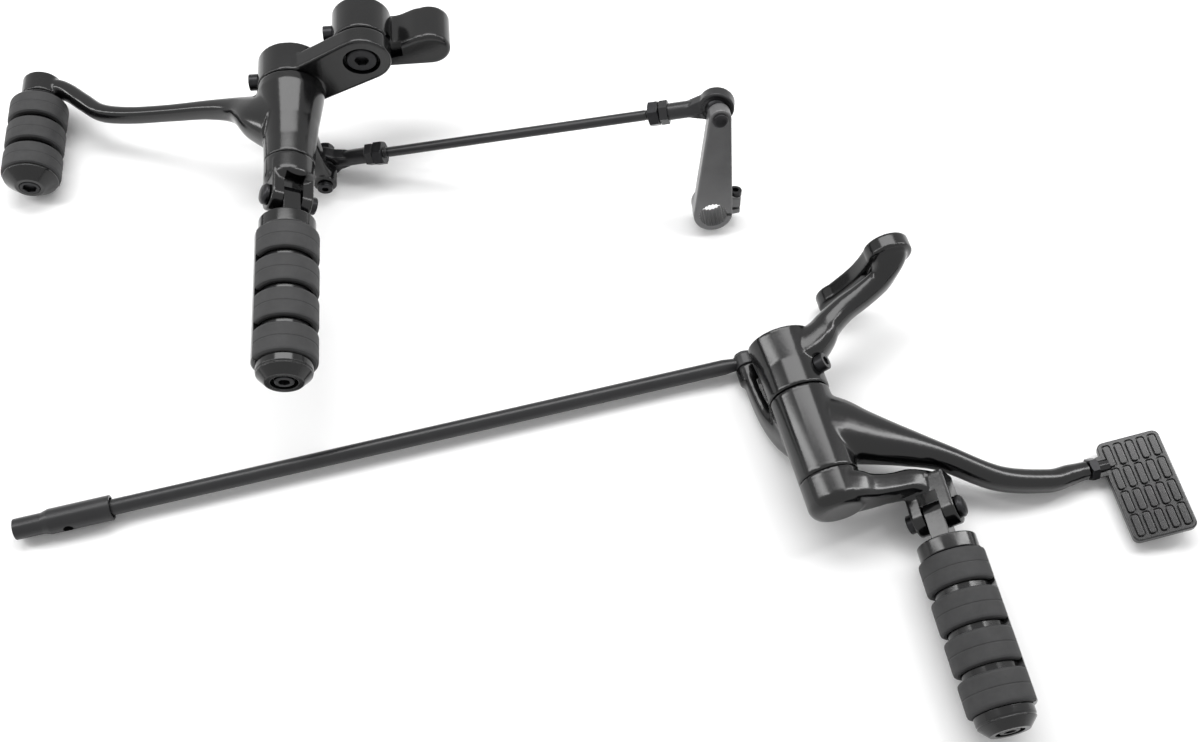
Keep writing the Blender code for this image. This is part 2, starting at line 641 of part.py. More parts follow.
def peg_support(side, root, hinge, hub_radius, hub_low, hub_length, axle_end, lock_place, lock_angle,
                stations):
    """The outboard hub with its axle, the arm that carries the footpeg, and the clevis."""
    high = hub_low + hub_length
    body = lathe([(0, axle_end), (AXLE_RADIUS - 0.0008, axle_end), (AXLE_RADIUS, axle_end + 0.0008),
                  (AXLE_RADIUS, hub_low), (hub_radius - 0.0006, hub_low), (hub_radius, hub_low + 0.0006),
                  *arc((hub_radius - SUPPORT_EDGE, high - SUPPORT_EDGE), SUPPORT_EDGE, 0, math.pi / 2, 3),
                  (0, high)])
    block, slot, hole = clevis(HINGE_PIN_RADIUS + GAP)
    tools = [moved(block, hinge)]
    if stations:
        tools.append(forged(stations, 4.0))
    body = fuse(body, *tools)
    dimple = cylinder(LOCK_SCREW_RADIUS + GAP, AXLE_RADIUS - LOCK_DIMPLE_DEPTH, AXLE_RADIUS + 0.002,
                      FINE_SEGMENTS)
    body = cut(body, moved(slot, hinge), moved(hole, hinge), moved(dimple, radial(lock_place, lock_angle)))
    piece(side + "_peg_support", body, GLOSS_BLACK, root)


def radial(place, angle):
    """A frame whose Z points away from the axle at a place along it and an angle above +X."""
    return at(z=place) @ turned(angle, "Z") @ turned(math.pi / 2, "Y")


def lock_screw(name, root, wall_radius, place, angle):
    """The radial screw that locks the axle in its bracket, seated on a spot face."""
    seat = spot_face(wall_radius) + GAP
    length = seat - (AXLE_RADIUS - LOCK_DIMPLE_DEPTH) - GAP
    screw = socket_screw(LOCK_SCREW_RADIUS, length, LOCK_SCREW_HEAD, LOCK_SCREW_HEAD_HEIGHT, 0.005)
    piece(name, moved(screw, radial(place, angle) @ at(z=seat)), SATIN_BLACK, root)


def spot_face(wall_radius):
    """Height above the axis of the flat that a screw head needs on a round wall."""
    return math.sqrt(wall_radius ** 2 - (LOCK_SCREW_HEAD + 0.0004) ** 2) - 0.0002


def lock_cutters(wall_radius, place, angle):
    """The spot face and screw hole in a round wall."""
    flat = cylinder(LOCK_SCREW_HEAD + 0.0004, spot_face(wall_radius), wall_radius + 0.003, FINE_SEGMENTS)
    hole = cylinder(LOCK_SCREW_RADIUS + GAP, 0, wall_radius + 0.003, FINE_SEGMENTS)
    return [moved(flat, radial(place, angle)), moved(hole, radial(place, angle))]


def bushes(side, root, hub_length):
    """The two plain bearings of a pivoting hub."""
    for name, low in (("inner", GAP + BUSH_INSET), ("outer", hub_length - BUSH_INSET - GAP - BUSH_LENGTH)):
        ring = lathe([(AXLE_BORE, low), (BUSH_RADIUS, low), (BUSH_RADIUS, low + BUSH_LENGTH),
                      (AXLE_BORE, low + BUSH_LENGTH)], 18)
        piece(side + "_bush_" + name, ring, BRONZE, root)


def brake_bracket(root):
    """Forged bracket: axle tube, arm and the two-hole flange that bolts to the frame."""
    far = -BRAKE_TUBE_LENGTH
    tube = lathe([(0, far), (BRAKE_TUBE_FAR_RADIUS - 0.0015, far), (BRAKE_TUBE_FAR_RADIUS, far + 0.0015),
                  (BRAKE_TUBE_RADIUS, -0.018), (BRAKE_TUBE_RADIUS, -GAP - 0.0005),
                  (BRAKE_TUBE_RADIUS - 0.0005, -GAP), (0, -GAP)])
    back = -FLANGE_FACE - FLANGE_THICKNESS
    outline = waisted_outline(FLANGE_LOWER, FLANGE_LOWER_RADIUS, FLANGE_UPPER, FLANGE_UPPER_RADIUS, FLANGE_WAIST)
    body = fuse(tube, forged(BRACKET_ARM), extrude(outline, back, -FLANGE_FACE, FLANGE_EDGE))
    lower_hole = moved(cylinder(FLANGE_HOLE_RADIUS, back - 0.002, -FLANGE_FACE + 0.002, FINE_SEGMENTS),
                       at(*FLANGE_LOWER))
    upper_hole = moved(cylinder(FLANGE_HOLE_RADIUS, back - 0.002, back + FLANGE_BLIND_DEPTH, FINE_SEGMENTS),
                       at(*FLANGE_UPPER))
    bore = cylinder(AXLE_BORE, -BRAKE_AXLE_REACH, 0.002)
    lock = lock_cutters(BRAKE_TUBE_RADIUS, -BRAKE_LOCK_PLACE, BRAKE_LOCK_ANGLE)
    piece("brake_bracket", cut(body, bore, lower_hole, upper_hole, *lock), GLOSS_BLACK, root)
    lock_screw("brake_bracket_screw", root, BRAKE_TUBE_RADIUS, -BRAKE_LOCK_PLACE, BRAKE_LOCK_ANGLE)


def brake_pedal(swing):
    """Pedal hub with its long arm to the pad and the short lever that pushes the rod."""
    end = BRAKE_HUB_LENGTH - GAP
    hub = lathe([(0, 0), (BRAKE_HUB_RADIUS - 0.0006, 0), (BRAKE_HUB_RADIUS, 0.0006),
                 (BRAKE_HUB_END_RADIUS, end - 0.0006), (BRAKE_HUB_END_RADIUS - 0.0006, end), (0, end)])
    neck_x, neck_y, neck_z = NECK_END
    arm = forged(PEDAL_ARM, 2.3)
    lever = forged(ROD_LEVER, 3.0)
    pin_x, pin_y = ROD_PIN_AT
    boss = moved(chamfered(ROD_PIN_BOSS_RADIUS, -ROD_PIN_BOSS_END, -ROD_PIN_BOSS_START, 0.0008, 24),
                 at(pin_x, pin_y))
    stud = lathe([(0, -0.004), (NECK_STUD_RADIUS, -0.004), (NECK_STUD_RADIUS, NECK_STUD_LENGTH - 0.0005),
                  (NECK_STUD_RADIUS - 0.0005, NECK_STUD_LENGTH), (0, NECK_STUD_LENGTH)], FINE_SEGMENTS)
    stud = moved(stud, at(*NECK_END) @ turned(math.pi / 2, "Y"))
    body = fuse(hub, arm, lever, boss, stud)
    bore = cylinder(HUB_BORE, -0.002, end + 0.002)
    seat = cylinder(ROD_PIN_RADIUS + GAP, -ROD_PIN_BOSS_END - 0.002, -ROD_PIN_BOSS_END + ROD_PIN_SEAT_DEPTH,
                    FINE_SEGMENTS)
    bracket_room = cylinder(BRAKE_TUBE_FAR_RADIUS + 0.0006, -0.060, -0.0001)
    piece("brake_pedal", cut(body, bore, moved(seat, at(pin_x, pin_y)), bracket_room), GLOSS_BLACK, swing)
    nut = hex_nut(PAD_NUT_FLATS, PAD_NUT_HEIGHT, NECK_STUD_RADIUS + GAP)
    piece("brake_pad_nut", moved(nut, at(neck_x + GAP, neck_y, neck_z) @ turned(math.pi / 2, "Y")),
          SATIN_BLACK, swing)
    bushes("brake", swing, BRAKE_HUB_LENGTH)


def brake_pad(swing):
    """Cast pad with rows of raised grip ribs and a boss behind its inboard corner."""
    stand = (at(*PAD_CENTRE) @ turned(PAD_YAW, "Y") @ turned(PAD_TILT, "Z") @ turned(-math.pi / 2, "X"))
    half_x = PAD_WIDTH / 2 - PAD_CORNER
    half_z = PAD_LENGTH / 2 - PAD_CORNER
    outline = []
    for quarter, (sign_x, sign_z) in enumerate(((1, 1), (-1, 1), (-1, -1), (1, -1))):
        outline += arc((sign_x * half_x, sign_z * half_z), PAD_CORNER, quarter * math.pi / 2,
                       (quarter + 1) * math.pi / 2, 3)
    plate = extrude(outline, -PAD_THICKNESS / 2, PAD_THICKNESS / 2, 0.0007)
    ribs = []
    rib_half = PAD_RIB_LENGTH / 2 - PAD_RIB_WIDTH / 2
    rib_outline = link_outline((0, -rib_half), PAD_RIB_WIDTH / 2, (0, rib_half), PAD_RIB_WIDTH / 2, 3)
    for column in range(PAD_RIB_COLUMNS):
        for row in range(PAD_RIB_ROWS):
            rib = extrude(rib_outline, 0, PAD_THICKNESS / 2 + PAD_RIB_HEIGHT)
            ribs.append(moved(rib, at((column - (PAD_RIB_COLUMNS - 1) / 2) * PAD_RIB_PITCH_X,
                                      (row - (PAD_RIB_ROWS - 1) / 2) * PAD_RIB_PITCH_Z)))
    plate = moved(fuse(plate, *ribs), stand)
    start = NECK_END[0] + 2 * GAP + PAD_NUT_HEIGHT
    boss = lathe([(0, 0), (PAD_BOSS_RADIUS - 0.0005, 0), (PAD_BOSS_RADIUS, 0.0005),
                  (PAD_BOSS_RADIUS, 0.5 * PAD_BOSS_LENGTH), (0.6 * PAD_BOSS_RADIUS, PAD_BOSS_LENGTH),
                  (0, PAD_BOSS_LENGTH)], 24)
    along_neck = at(start, NECK_END[1], NECK_END[2]) @ turned(math.pi / 2, "Y")
    bore = cylinder(NECK_STUD_RADIUS + GAP, -0.001, NECK_STUD_LENGTH - PAD_NUT_HEIGHT, FINE_SEGMENTS)
    body = cut(fuse(plate, moved(boss, along_neck)), moved(bore, along_neck))
    piece("brake_pad", body, GLOSS_BLACK, swing)


def brake_rod(root):
    """The long rod to the master cylinder, its pin, clip and end coupler."""
    pin_x, pin_y = ROD_PIN_AT
    eye_near = -ROD_PIN_BOSS_END - GAP
    eye_far = eye_near - BRAKE_ROD_EYE_WIDTH
    middle = (eye_near + eye_far) / 2
    swing = frame("brake_rod_joint", root, at(pin_x, pin_y, middle))

    pin_start = -ROD_PIN_BOSS_END + ROD_PIN_SEAT_DEPTH - GAP
    pin_end = eye_far - GAP - ROD_CLIP_THICKNESS - 0.0012
    pin = moved(chamfered(ROD_PIN_RADIUS, pin_end, pin_start, 0.0004, FINE_SEGMENTS), at(pin_x, pin_y))
    piece("brake_rod_pin", pin, SATIN_BLACK, root)
    clip_near = eye_far - GAP
    clip = lathe([(ROD_PIN_RADIUS + GAP, clip_near), (ROD_CLIP_RADIUS, clip_near),
                  (ROD_CLIP_RADIUS, clip_near - ROD_CLIP_THICKNESS),
                  (ROD_PIN_RADIUS + GAP, clip_near - ROD_CLIP_THICKNESS)], FINE_SEGMENTS)
    piece("brake_pin_clip", moved(clip, at(pin_x, pin_y)), SATIN_BLACK, root)

    rod_end = BRAKE_ROD_END - pin_x
    coupler_start = rod_end + COUPLER_ENGAGEMENT - COUPLER_LENGTH
    eye = chamfered(BRAKE_ROD_EYE_RADIUS, -BRAKE_ROD_EYE_WIDTH / 2, BRAKE_ROD_EYE_WIDTH / 2, 0.0008, 24)
    along_rod = turned(-math.pi / 2, "Y")
    bar = lathe([(0, 0.002), (0.0036, 0.002), (0.0038, 0.0055), (BRAKE_ROD_RADIUS, 0.014),
                 (BRAKE_ROD_RADIUS, -rod_end - 0.0006), (BRAKE_ROD_RADIUS - 0.0006, -rod_end),
                 (0, -rod_end)], 24)
    body = fuse(eye, moved(bar, along_rod))
    hole = cylinder(ROD_PIN_RADIUS + GAP, -BRAKE_ROD_EYE_WIDTH, BRAKE_ROD_EYE_WIDTH, FINE_SEGMENTS)
    piece("brake_rod", cut(body, hole), SATIN_BLACK, swing)

    neck = COUPLER_NECK_LENGTH
    body = lathe([(0, 0), (COUPLER_NECK_RADIUS - 0.0006, 0), (COUPLER_NECK_RADIUS, 0.0006),
                  (COUPLER_NECK_RADIUS, neck), (COUPLER_RADIUS, neck + COUPLER_CONE_LENGTH),
                  (COUPLER_RADIUS, COUPLER_LENGTH - 0.0004), (COUPLER_RADIUS - 0.0004, COUPLER_LENGTH),
                  (0, COUPLER_LENGTH)])
    rod_seat = COUPLER_LENGTH - COUPLER_ENGAGEMENT - 2 * GAP
    mouth = COUPLER_LENGTH - COUPLER_MOUTH_DEPTH
    bore = lathe([(0, -0.001), (COUPLER_THREAD_RADIUS, -0.001), (COUPLER_THREAD_RADIUS, rod_seat - 0.003),
                  (BRAKE_ROD_RADIUS + GAP, rod_seat), (BRAKE_ROD_RADIUS + GAP, mouth),
                  (COUPLER_MOUTH_RADIUS, mouth),
                  (COUPLER_MOUTH_RADIUS, COUPLER_LENGTH + 0.001), (0, COUPLER_LENGTH + 0.001)], 24)
    sight = moved(cylinder(COUPLER_HOLE_RADIUS, -0.012, 0.012, FINE_SEGMENTS),
                  at(z=COUPLER_HOLE_AT) @ turned(math.pi / 2, "Y"))
    lie = at(coupler_start) @ turned(math.pi / 2, "Y")
    piece("rod_coupler", moved(cut(body, bore, sight), lie), SATIN_BLACK, swing)


def shift_bracket(root):
    """Bracket plate with the axle tube at one end and the counterbored mount boss at the other."""
    far = -SHIFT_TUBE_LENGTH
    tube = lathe([(0, far), (SHIFT_TUBE_RADIUS - 0.0015, far), (SHIFT_TUBE_RADIUS, far + 0.0015),
                  (SHIFT_TUBE_RADIUS, -GAP - 0.0008), (SHIFT_TUBE_RADIUS - 0.0008, -GAP), (0, -GAP)])
    plate_outline = link_outline((0.006, 0.0), SHIFT_TUBE_RADIUS - 0.004, MOUNT_AT, MOUNT_RADIUS, 16)
    plate = extrude(plate_outline, -GAP - MOUNT_PLATE, -GAP - 0.0006, 0.0012)
    body = fuse(tube, plate)
    bore = cylinder(AXLE_BORE, -SHIFT_AXLE_REACH - GAP, 0.002)
    recess = moved(cylinder(MOUNT_RECESS_RADIUS, -GAP - MOUNT_RECESS_DEPTH, 0.002), at(*MOUNT_AT))
    hole = moved(cylinder(MOUNT_BOLT_RADIUS + GAP, -0.030, 0.002, FINE_SEGMENTS), at(*MOUNT_AT))
    lock = lock_cutters(SHIFT_TUBE_RADIUS, -SHIFT_LOCK_PLACE, math.pi)
    piece("shift_bracket", cut(body, bore, recess, hole, *lock), GLOSS_BLACK, root)
    lock_screw("shift_bracket_screw", root, SHIFT_TUBE_RADIUS, -SHIFT_LOCK_PLACE, math.pi)


def shift_clamp(root):
    """Frame clamp behind the mount boss, with its ear, the long bolt and the side screw."""
    near = -GAP - MOUNT_PLATE - GAP
    drum = lathe([(0, -CLAMP_END), (MOUNT_RADIUS - 0.0015, -CLAMP_END), (MOUNT_RADIUS, -CLAMP_END + 0.0015),
                  (MOUNT_RADIUS, near - 0.0012), (MOUNT_RADIUS - 0.0012, near), (0, near)])
    drum = moved(drum, at(*MOUNT_AT))
    ear_x, ear_y = EAR_AT
    crown = math.radians(112)
    outline = arc(EAR_AT, EAR_RADIUS, -math.pi / 2, crown, 16)
    last_x, last_y = outline[-1]
    web_x = ear_x - 0.022
    for step in range(1, 6):
        share = step / 6
        ease = share * share * (3 - 2 * share)
        outline.append((last_x + (web_x - last_x) * share, last_y + (EAR_TOP - last_y) * ease))
    root_x = MOUNT_AT[0] + 0.004
    outline += [(web_x, EAR_TOP), (root_x, EAR_TOP), (root_x, ear_y - EAR_RADIUS)]
    ear = extrude(outline, -EAR_FAR, -EAR_NEAR, 0.002)
    body = fuse(drum, ear)
    step_low = MOUNT_AT[0] + MOUNT_RADIUS - 0.004
    step_high = step_low + 0.010
    notch = extrude([(step_low, 0.008), (step_high, 0.010), (step_high, 0.030), (step_low, 0.030)],
                    -EAR_NEAR - 0.0035, -EAR_NEAR + 0.004)
    bolt_hole = cylinder(MOUNT_BOLT_RADIUS + GAP, -MOUNT_RECESS_DEPTH - MOUNT_BOLT_LENGTH - 0.001, 0,
                         FINE_SEGMENTS)
    flat = spot_face(MOUNT_RADIUS)
    screw_frame = at(*MOUNT_AT) @ radial(-CLAMP_SCREW_AT, math.pi)
    spot = moved(cylinder(LOCK_SCREW_HEAD + 0.0004, flat, MOUNT_RADIUS + 0.003, FINE_SEGMENTS), screw_frame)
    thread_start = MOUNT_BOLT_RADIUS + 0.003
    thread = cylinder(LOCK_SCREW_RADIUS + GAP, thread_start, MOUNT_RADIUS + 0.003, FINE_SEGMENTS)
    body = cut(body, notch, moved(bolt_hole, at(*MOUNT_AT)), spot, moved(thread, screw_frame))
    piece("shift_mount_clamp", body, GLOSS_BLACK, root)
    screw = socket_screw(LOCK_SCREW_RADIUS, flat - thread_start, LOCK_SCREW_HEAD, LOCK_SCREW_HEAD_HEIGHT,
                         0.005)
    piece("shift_clamp_screw", moved(screw, screw_frame @ at(z=flat + GAP)), SATIN_BLACK, root)
    bolt = socket_screw(MOUNT_BOLT_RADIUS, MOUNT_BOLT_LENGTH, MOUNT_BOLT_HEAD, MOUNT_BOLT_HEAD_HEIGHT, 0.008)
    seat = -GAP - MOUNT_RECESS_DEPTH + GAP
    piece("shift_mount_bolt", moved(bolt, at(*MOUNT_AT, seat)), SATIN_BLACK, root)


def shift_lever(swing):
    """Lever hub with its toe arm and the short arm down to the linkage."""
    end = SHIFT_HUB_LENGTH - GAP
    hub = lathe([(0, GAP), (SHIFT_HUB_RADIUS - 0.0008, GAP), (SHIFT_HUB_RADIUS, GAP + 0.0008),
                 *SHIFT_HUB_WAIST,
                 (SHIFT_HUB_END_RADIUS, end - 0.0006), (SHIFT_HUB_END_RADIUS - 0.0006, end), (0, end)])
    boss = moved(chamfered(TOE_BOSS_RADIUS, TOE_BOSS_START, TOE_BOSS_END, 0.0012), at(*TOE_AT))
    link_boss = chamfered(LINK_BOSS_RADIUS, LINK_BOSS_START, LINK_BOSS_END, 0.0007, 24)
    body = fuse(hub, forged(TOE_ARM, 2.3), boss, forged(LINK_ARM, 3.0), moved(link_boss, at(*FRONT_BALL_AT)))
    bore = cylinder(HUB_BORE, -0.002, end + 0.002)
    toe_bore = cylinder(TOE_BOLT_RADIUS + GAP, TOE_BOSS_END - TOE_BOLT_REACH, TOE_BOSS_END + 0.002,
                        FINE_SEGMENTS)
    link_bore = cylinder(LINK_BOLT_RADIUS + GAP, LINK_BOSS_START - 0.002, LINK_BOSS_END + 0.002, FINE_SEGMENTS)
    body = cut(body, bore, moved(toe_bore, at(*TOE_AT)), moved(link_bore, at(*FRONT_BALL_AT)))
    piece("shift_lever", body, GLOSS_BLACK, swing)
    bushes("shift", swing, SHIFT_HUB_LENGTH)


def toe_peg(swing):
    """The rubber toe peg on the end of the shift lever, held by its long bolt."""
    place = at(*TOE_AT)
    low = TOE_BOSS_END + GAP
    pitch = TOE_RING_WIDTH + TOE_RING_SPACE
    ring_low = low + TOE_COLLAR_LENGTH + GAP
    end = ring_low + pitch * TOE_RING_COUNT - TOE_RING_SPACE
    bore = TOE_BOLT_RADIUS + GAP
    collar_end = low + TOE_COLLAR_LENGTH
    sleeve = lathe([(bore, low), (TOE_BOSS_RADIUS, low), (TOE_COLLAR_RADIUS, collar_end),
                    (TOE_SLEEVE_RADIUS, collar_end), (TOE_SLEEVE_RADIUS, end), (bore, end)])
    piece("toe_peg_sleeve", moved(sleeve, place), GLOSS_BLACK, swing)
    for index in range(TOE_RING_COUNT):
        start = ring_low + pitch * index
        stop = start + TOE_RING_WIDTH
        inner = TOE_SLEEVE_RADIUS + GAP
        ring = lathe([(inner, start), (TOE_RING_RADIUS - RING_EDGE, start),
                      (TOE_RING_RADIUS, start + RING_EDGE), (TOE_RING_RADIUS, stop - RING_EDGE),
                      (TOE_RING_RADIUS - RING_EDGE, stop), (inner, stop)])
        piece("toe_rubber_" + str(index + 1), moved(ring, place), RUBBER, swing)
    cap_low = end + GAP
    cap_high = cap_low + TOE_CAP_LENGTH
    recess = cap_high - TOE_BOLT_HEAD_HEIGHT
    cap = lathe([(bore, cap_low), (TOE_CAP_RADIUS, cap_low), (TOE_CAP_RADIUS, cap_low + 0.0015),
                 (TOE_CAP_FACE_RADIUS + 0.0004, cap_high - 0.0004), (TOE_CAP_FACE_RADIUS - 0.0004, cap_high),
                 (TOE_BOLT_HEAD + GAP, cap_high), (TOE_BOLT_HEAD + GAP, recess), (bore, recess)])
    piece("toe_peg_cap", moved(cap, place), GLOSS_BLACK, swing)
    seat = recess + GAP
    length = seat - (TOE_BOSS_END - TOE_BOLT_REACH) - GAP
    bolt = socket_screw(TOE_BOLT_RADIUS, length, TOE_BOLT_HEAD, TOE_BOLT_HEAD_HEIGHT, 0.008)
    piece("toe_peg_bolt", moved(bolt, place @ at(z=seat)), SATIN_BLACK, swing)


def rod_end(name, parent, stand):
    """A ball-joint rod end. In its frame the eye's axis is Z and the shank runs along +X."""
    eye = chamfered(EYE_RADIUS, -EYE_WIDTH / 2, EYE_WIDTH / 2, 0.0008)
    total = SHANK_LENGTH + SHANK_HEX_LENGTH
    shank = lathe([(0, 0.004), (0.0040, 0.004), (0.0046, 0.010), (SHANK_RADIUS, 0.018),
                   (SHANK_RADIUS, SHANK_LENGTH + 0.001), (0, SHANK_LENGTH + 0.001)], 24)
    shoulder = loft([[(x, y * w, z * h) for y, z in ((-1, -1), (1, -1), (1, 1), (-1, 1))]
                     for x, w, h in SHANK_NECK])
    collar = moved(extrude(hexagon(SHANK_HEX_FLATS), SHANK_LENGTH, total, 0.0006), turned(math.pi / 2, "Y"))
    body = fuse(eye, moved(shank, turned(math.pi / 2, "Y")), shoulder, collar)
    race = BALL_RADIUS + GAP
    profile = [(0, -race)]
    for step in range(1, 10):
        angle = math.pi * (step / 10 - 0.5)
        profile.append((race * math.cos(angle), race * math.sin(angle)))
    profile.append((0, race))
    bore = cylinder(SHIFT_ROD_RADIUS + GAP, total - SHIFT_ROD_ENGAGEMENT - GAP, total + 0.002, FINE_SEGMENTS)
    body = cut(body, lathe(profile, 20), moved(bore, turned(math.pi / 2, "Y")))
    piece(name, moved(body, stand), SATIN_BLACK, parent)


def link_ball(name, parent, stand):
    """The drilled ball of a rod end, about Z."""
    half = BALL_WIDTH / 2
    flat = math.acos(half / BALL_RADIUS)
    profile = [(LINK_BOLT_RADIUS + GAP, half), (LINK_BOLT_RADIUS + GAP, -half)]
    steps = 6
    for step in range(steps + 1):
        angle = -math.pi / 2 + flat + (math.pi - 2 * flat) * step / steps
        profile.append((BALL_RADIUS * math.cos(angle), BALL_RADIUS * math.sin(angle)))
    piece(name, moved(lathe(profile, 20), stand), SATIN_BLACK, parent)


def shift_linkage(root, lever):
    """Rod with a ball joint at each end, and the arm that clamps on the gearbox shaft."""
    link_x, link_y = FRONT_BALL_AT
    front = Vector((link_x, link_y, LINK_BOSS_START - GAP - BALL_WIDTH / 2))
    rear = Vector(REAR_BALL_AT)
    along = (rear - front).normalized()
    stud_axis = Vector((0, math.sin(STUD_TILT), math.cos(STUD_TILT)))

    def across(axis, direction):
        """Frame at the origin with X along a direction and Z as near as it can be to an axis."""
        z_axis = (axis - direction * axis.dot(direction)).normalized()
        y_axis = z_axis.cross(direction)
        return Matrix((direction, y_axis, z_axis)).transposed().to_4x4()

    hinge = frame("front_ball_joint", lever, Matrix.Translation(front))
    link_ball("front_ball", hinge, Matrix())
    front_stand = across(Vector((0, 0, 1)), along)
    swivel = frame("shift_rod_joint", hinge, front_stand)
    rod_end("front_rod_end", swivel, Matrix())
    span = (rear - front).length
    shoulder = SHANK_LENGTH + SHANK_HEX_LENGTH
    rear_turn = front_stand.inverted() @ across(stud_axis, -along)
    rear_stand = at(span) @ rear_turn
    rod_end("rear_rod_end", swivel, rear_stand)
    lie = turned(math.pi / 2, "Y")
    rod = chamfered(SHIFT_ROD_RADIUS, shoulder - SHIFT_ROD_ENGAGEMENT, span - shoulder + SHIFT_ROD_ENGAGEMENT,
                    0.0005, FINE_SEGMENTS)
    piece("shift_rod", moved(rod, lie), SATIN_BLACK, swivel)
    rear_place = span - shoulder - GAP - JAM_NUT_LENGTH
    for name, place in (("front_jam_nut", shoulder + GAP), ("rear_jam_nut", rear_place)):
        nut = hex_nut(JAM_NUT_FLATS, JAM_NUT_LENGTH, SHIFT_ROD_RADIUS + GAP)
        piece(name, moved(nut, at(place) @ lie), SATIN_BLACK, swivel)

    bolt_seat = LINK_BOSS_END + GAP
    nut_low = front.z - BALL_WIDTH / 2 - GAP - LINK_NUT_HEIGHT
    bolt = socket_screw(LINK_BOLT_RADIUS, bolt_seat - nut_low + 0.0005, LINK_BOLT_HEAD, LINK_BOLT_HEAD_HEIGHT,
                        0.004)
    piece("front_ball_bolt", moved(bolt, at(link_x, link_y, bolt_seat)), SATIN_BLACK, lever)
    nut = hex_nut(LINK_NUT_FLATS, LINK_NUT_HEIGHT, LINK_BOLT_RADIUS + GAP)
    piece("front_ball_nut", moved(nut, at(link_x, link_y, nut_low)), SATIN_BLACK, lever)

    stud_frame = Matrix.Translation(rear) @ turned(-STUD_TILT, "X")
    stud_in_swivel = (Matrix.Translation(front) @ front_stand).inverted() @ stud_frame
    ball_joint = frame("rear_ball_joint", swivel, stud_in_swivel)
    link_ball("rear_ball", ball_joint, Matrix())
    arm_joint = frame("shifter_arm_joint", ball_joint, turned(ARM_SWING, "Z"))
    arm_low = BALL_WIDTH / 2 + GAP
    arm_high = arm_low + ARM_THICKNESS
    tail = -BALL_WIDTH / 2 - GAP
    stud = lathe([(0, tail - STUD_FLANGE_HEIGHT), (STUD_FLANGE - 0.001, tail - STUD_FLANGE_HEIGHT),
                  (STUD_FLANGE, tail - STUD_FLANGE_HEIGHT + 0.001), (STUD_FLANGE, tail), (STUD_RADIUS, tail),
                  (STUD_RADIUS, arm_high + GAP), (STUD_HEAD, arm_high + GAP),
                  (STUD_HEAD, arm_high + GAP + 0.6 * STUD_HEAD_HEIGHT),
                  (0.7 * STUD_HEAD, arm_high + GAP + STUD_HEAD_HEIGHT), (0, arm_high + GAP + STUD_HEAD_HEIGHT)],
                 FINE_SEGMENTS)
    piece("shifter_stud", stud, SATIN_BLACK, arm_joint)
    shifter_arm(arm_joint, arm_low, arm_high)


def shifter_arm(joint, low, high):
    """Tapered arm with a round eye, a splined clamp bore, its slot and pinch lug."""
    bore_at = (0, -ARM_LENGTH)
    face = low + ARM_EYE_BOSS_HEIGHT
    blade = extrude(link_outline((0, 0), ARM_SMALL_RADIUS, bore_at, ARM_BIG_RADIUS), face, high, 0.0008)
    eye_boss = cylinder(ARM_EYE_BOSS_RADIUS, low, face + 0.001)
    drum_low = high - ARM_BIG_WIDTH
    drum = moved(chamfered(ARM_BIG_RADIUS - 0.0003, drum_low, low + 0.004, 0.0008), at(*bore_at))
    lug_mid = bore_at[1] + 0.002
    lug = extrude([(0.004, lug_mid - ARM_LUG_HALF), (ARM_LUG_REACH, lug_mid - ARM_LUG_HALF + 0.003),
                   (ARM_LUG_REACH, lug_mid + ARM_LUG_HALF - 0.003), (0.004, lug_mid + ARM_LUG_HALF)],
                  drum_low + 0.001, high - 0.006, 0.0008)
    body = fuse(blade, eye_boss, drum, lug)
    teeth = []
    for tooth in range(ARM_SPLINE_COUNT):
        for share, depth in ((-0.25, 0.0), (0.0, 0.0), (0.25, ARM_SPLINE_DEPTH), (0.5, ARM_SPLINE_DEPTH)):
            angle = math.tau * (tooth + share) / ARM_SPLINE_COUNT
            reach = ARM_BORE_RADIUS + depth
            teeth.append((bore_at[0] + reach * math.cos(angle), bore_at[1] + reach * math.sin(angle)))
    splines = extrude(teeth, drum_low - 0.002, high + 0.002)
    slot_y = bore_at[1]
    slot = extrude([(0.003, slot_y - ARM_SLOT / 2), (ARM_LUG_REACH + 0.005, slot_y - ARM_SLOT / 2),
                    (ARM_LUG_REACH + 0.005, slot_y + ARM_SLOT / 2), (0.003, slot_y + ARM_SLOT / 2)],
                   drum_low - 0.002, high + 0.002)
    eye = cylinder(STUD_RADIUS + GAP, low - 0.002, high + 0.002, FINE_SEGMENTS)
    pinch_x = (ARM_BIG_RADIUS + ARM_LUG_REACH) / 2 - 0.0003
    pinch_z = (drum_low + 0.001 + high - 0.006) / 2
    seat = lug_mid + ARM_LUG_HALF - 0.004
    stand = at(pinch_x, 0, pinch_z) @ turned(-math.pi / 2, "X")
    wide = PINCH_HEAD + 0.0004
    narrow = PINCH_RADIUS + GAP
    pinch_hole = lathe([(0, lug_mid - 0.020), (narrow, lug_mid - 0.020), (narrow, seat), (wide, seat),
                        (wide, seat + 0.020), (0, seat + 0.020)], FINE_SEGMENTS)
    body = cut(body, splines, slot, eye, moved(pinch_hole, stand))
    piece("shifter_arm", body, SATIN_BLACK, joint)
    foot = lug_mid - ARM_LUG_HALF + 0.001
    pinch = socket_screw(PINCH_RADIUS, seat - foot, PINCH_HEAD, PINCH_HEAD_HEIGHT, 0.004)
    piece("pinch_bolt", moved(pinch, stand @ at(z=seat + GAP)), SATIN_BLACK, joint)


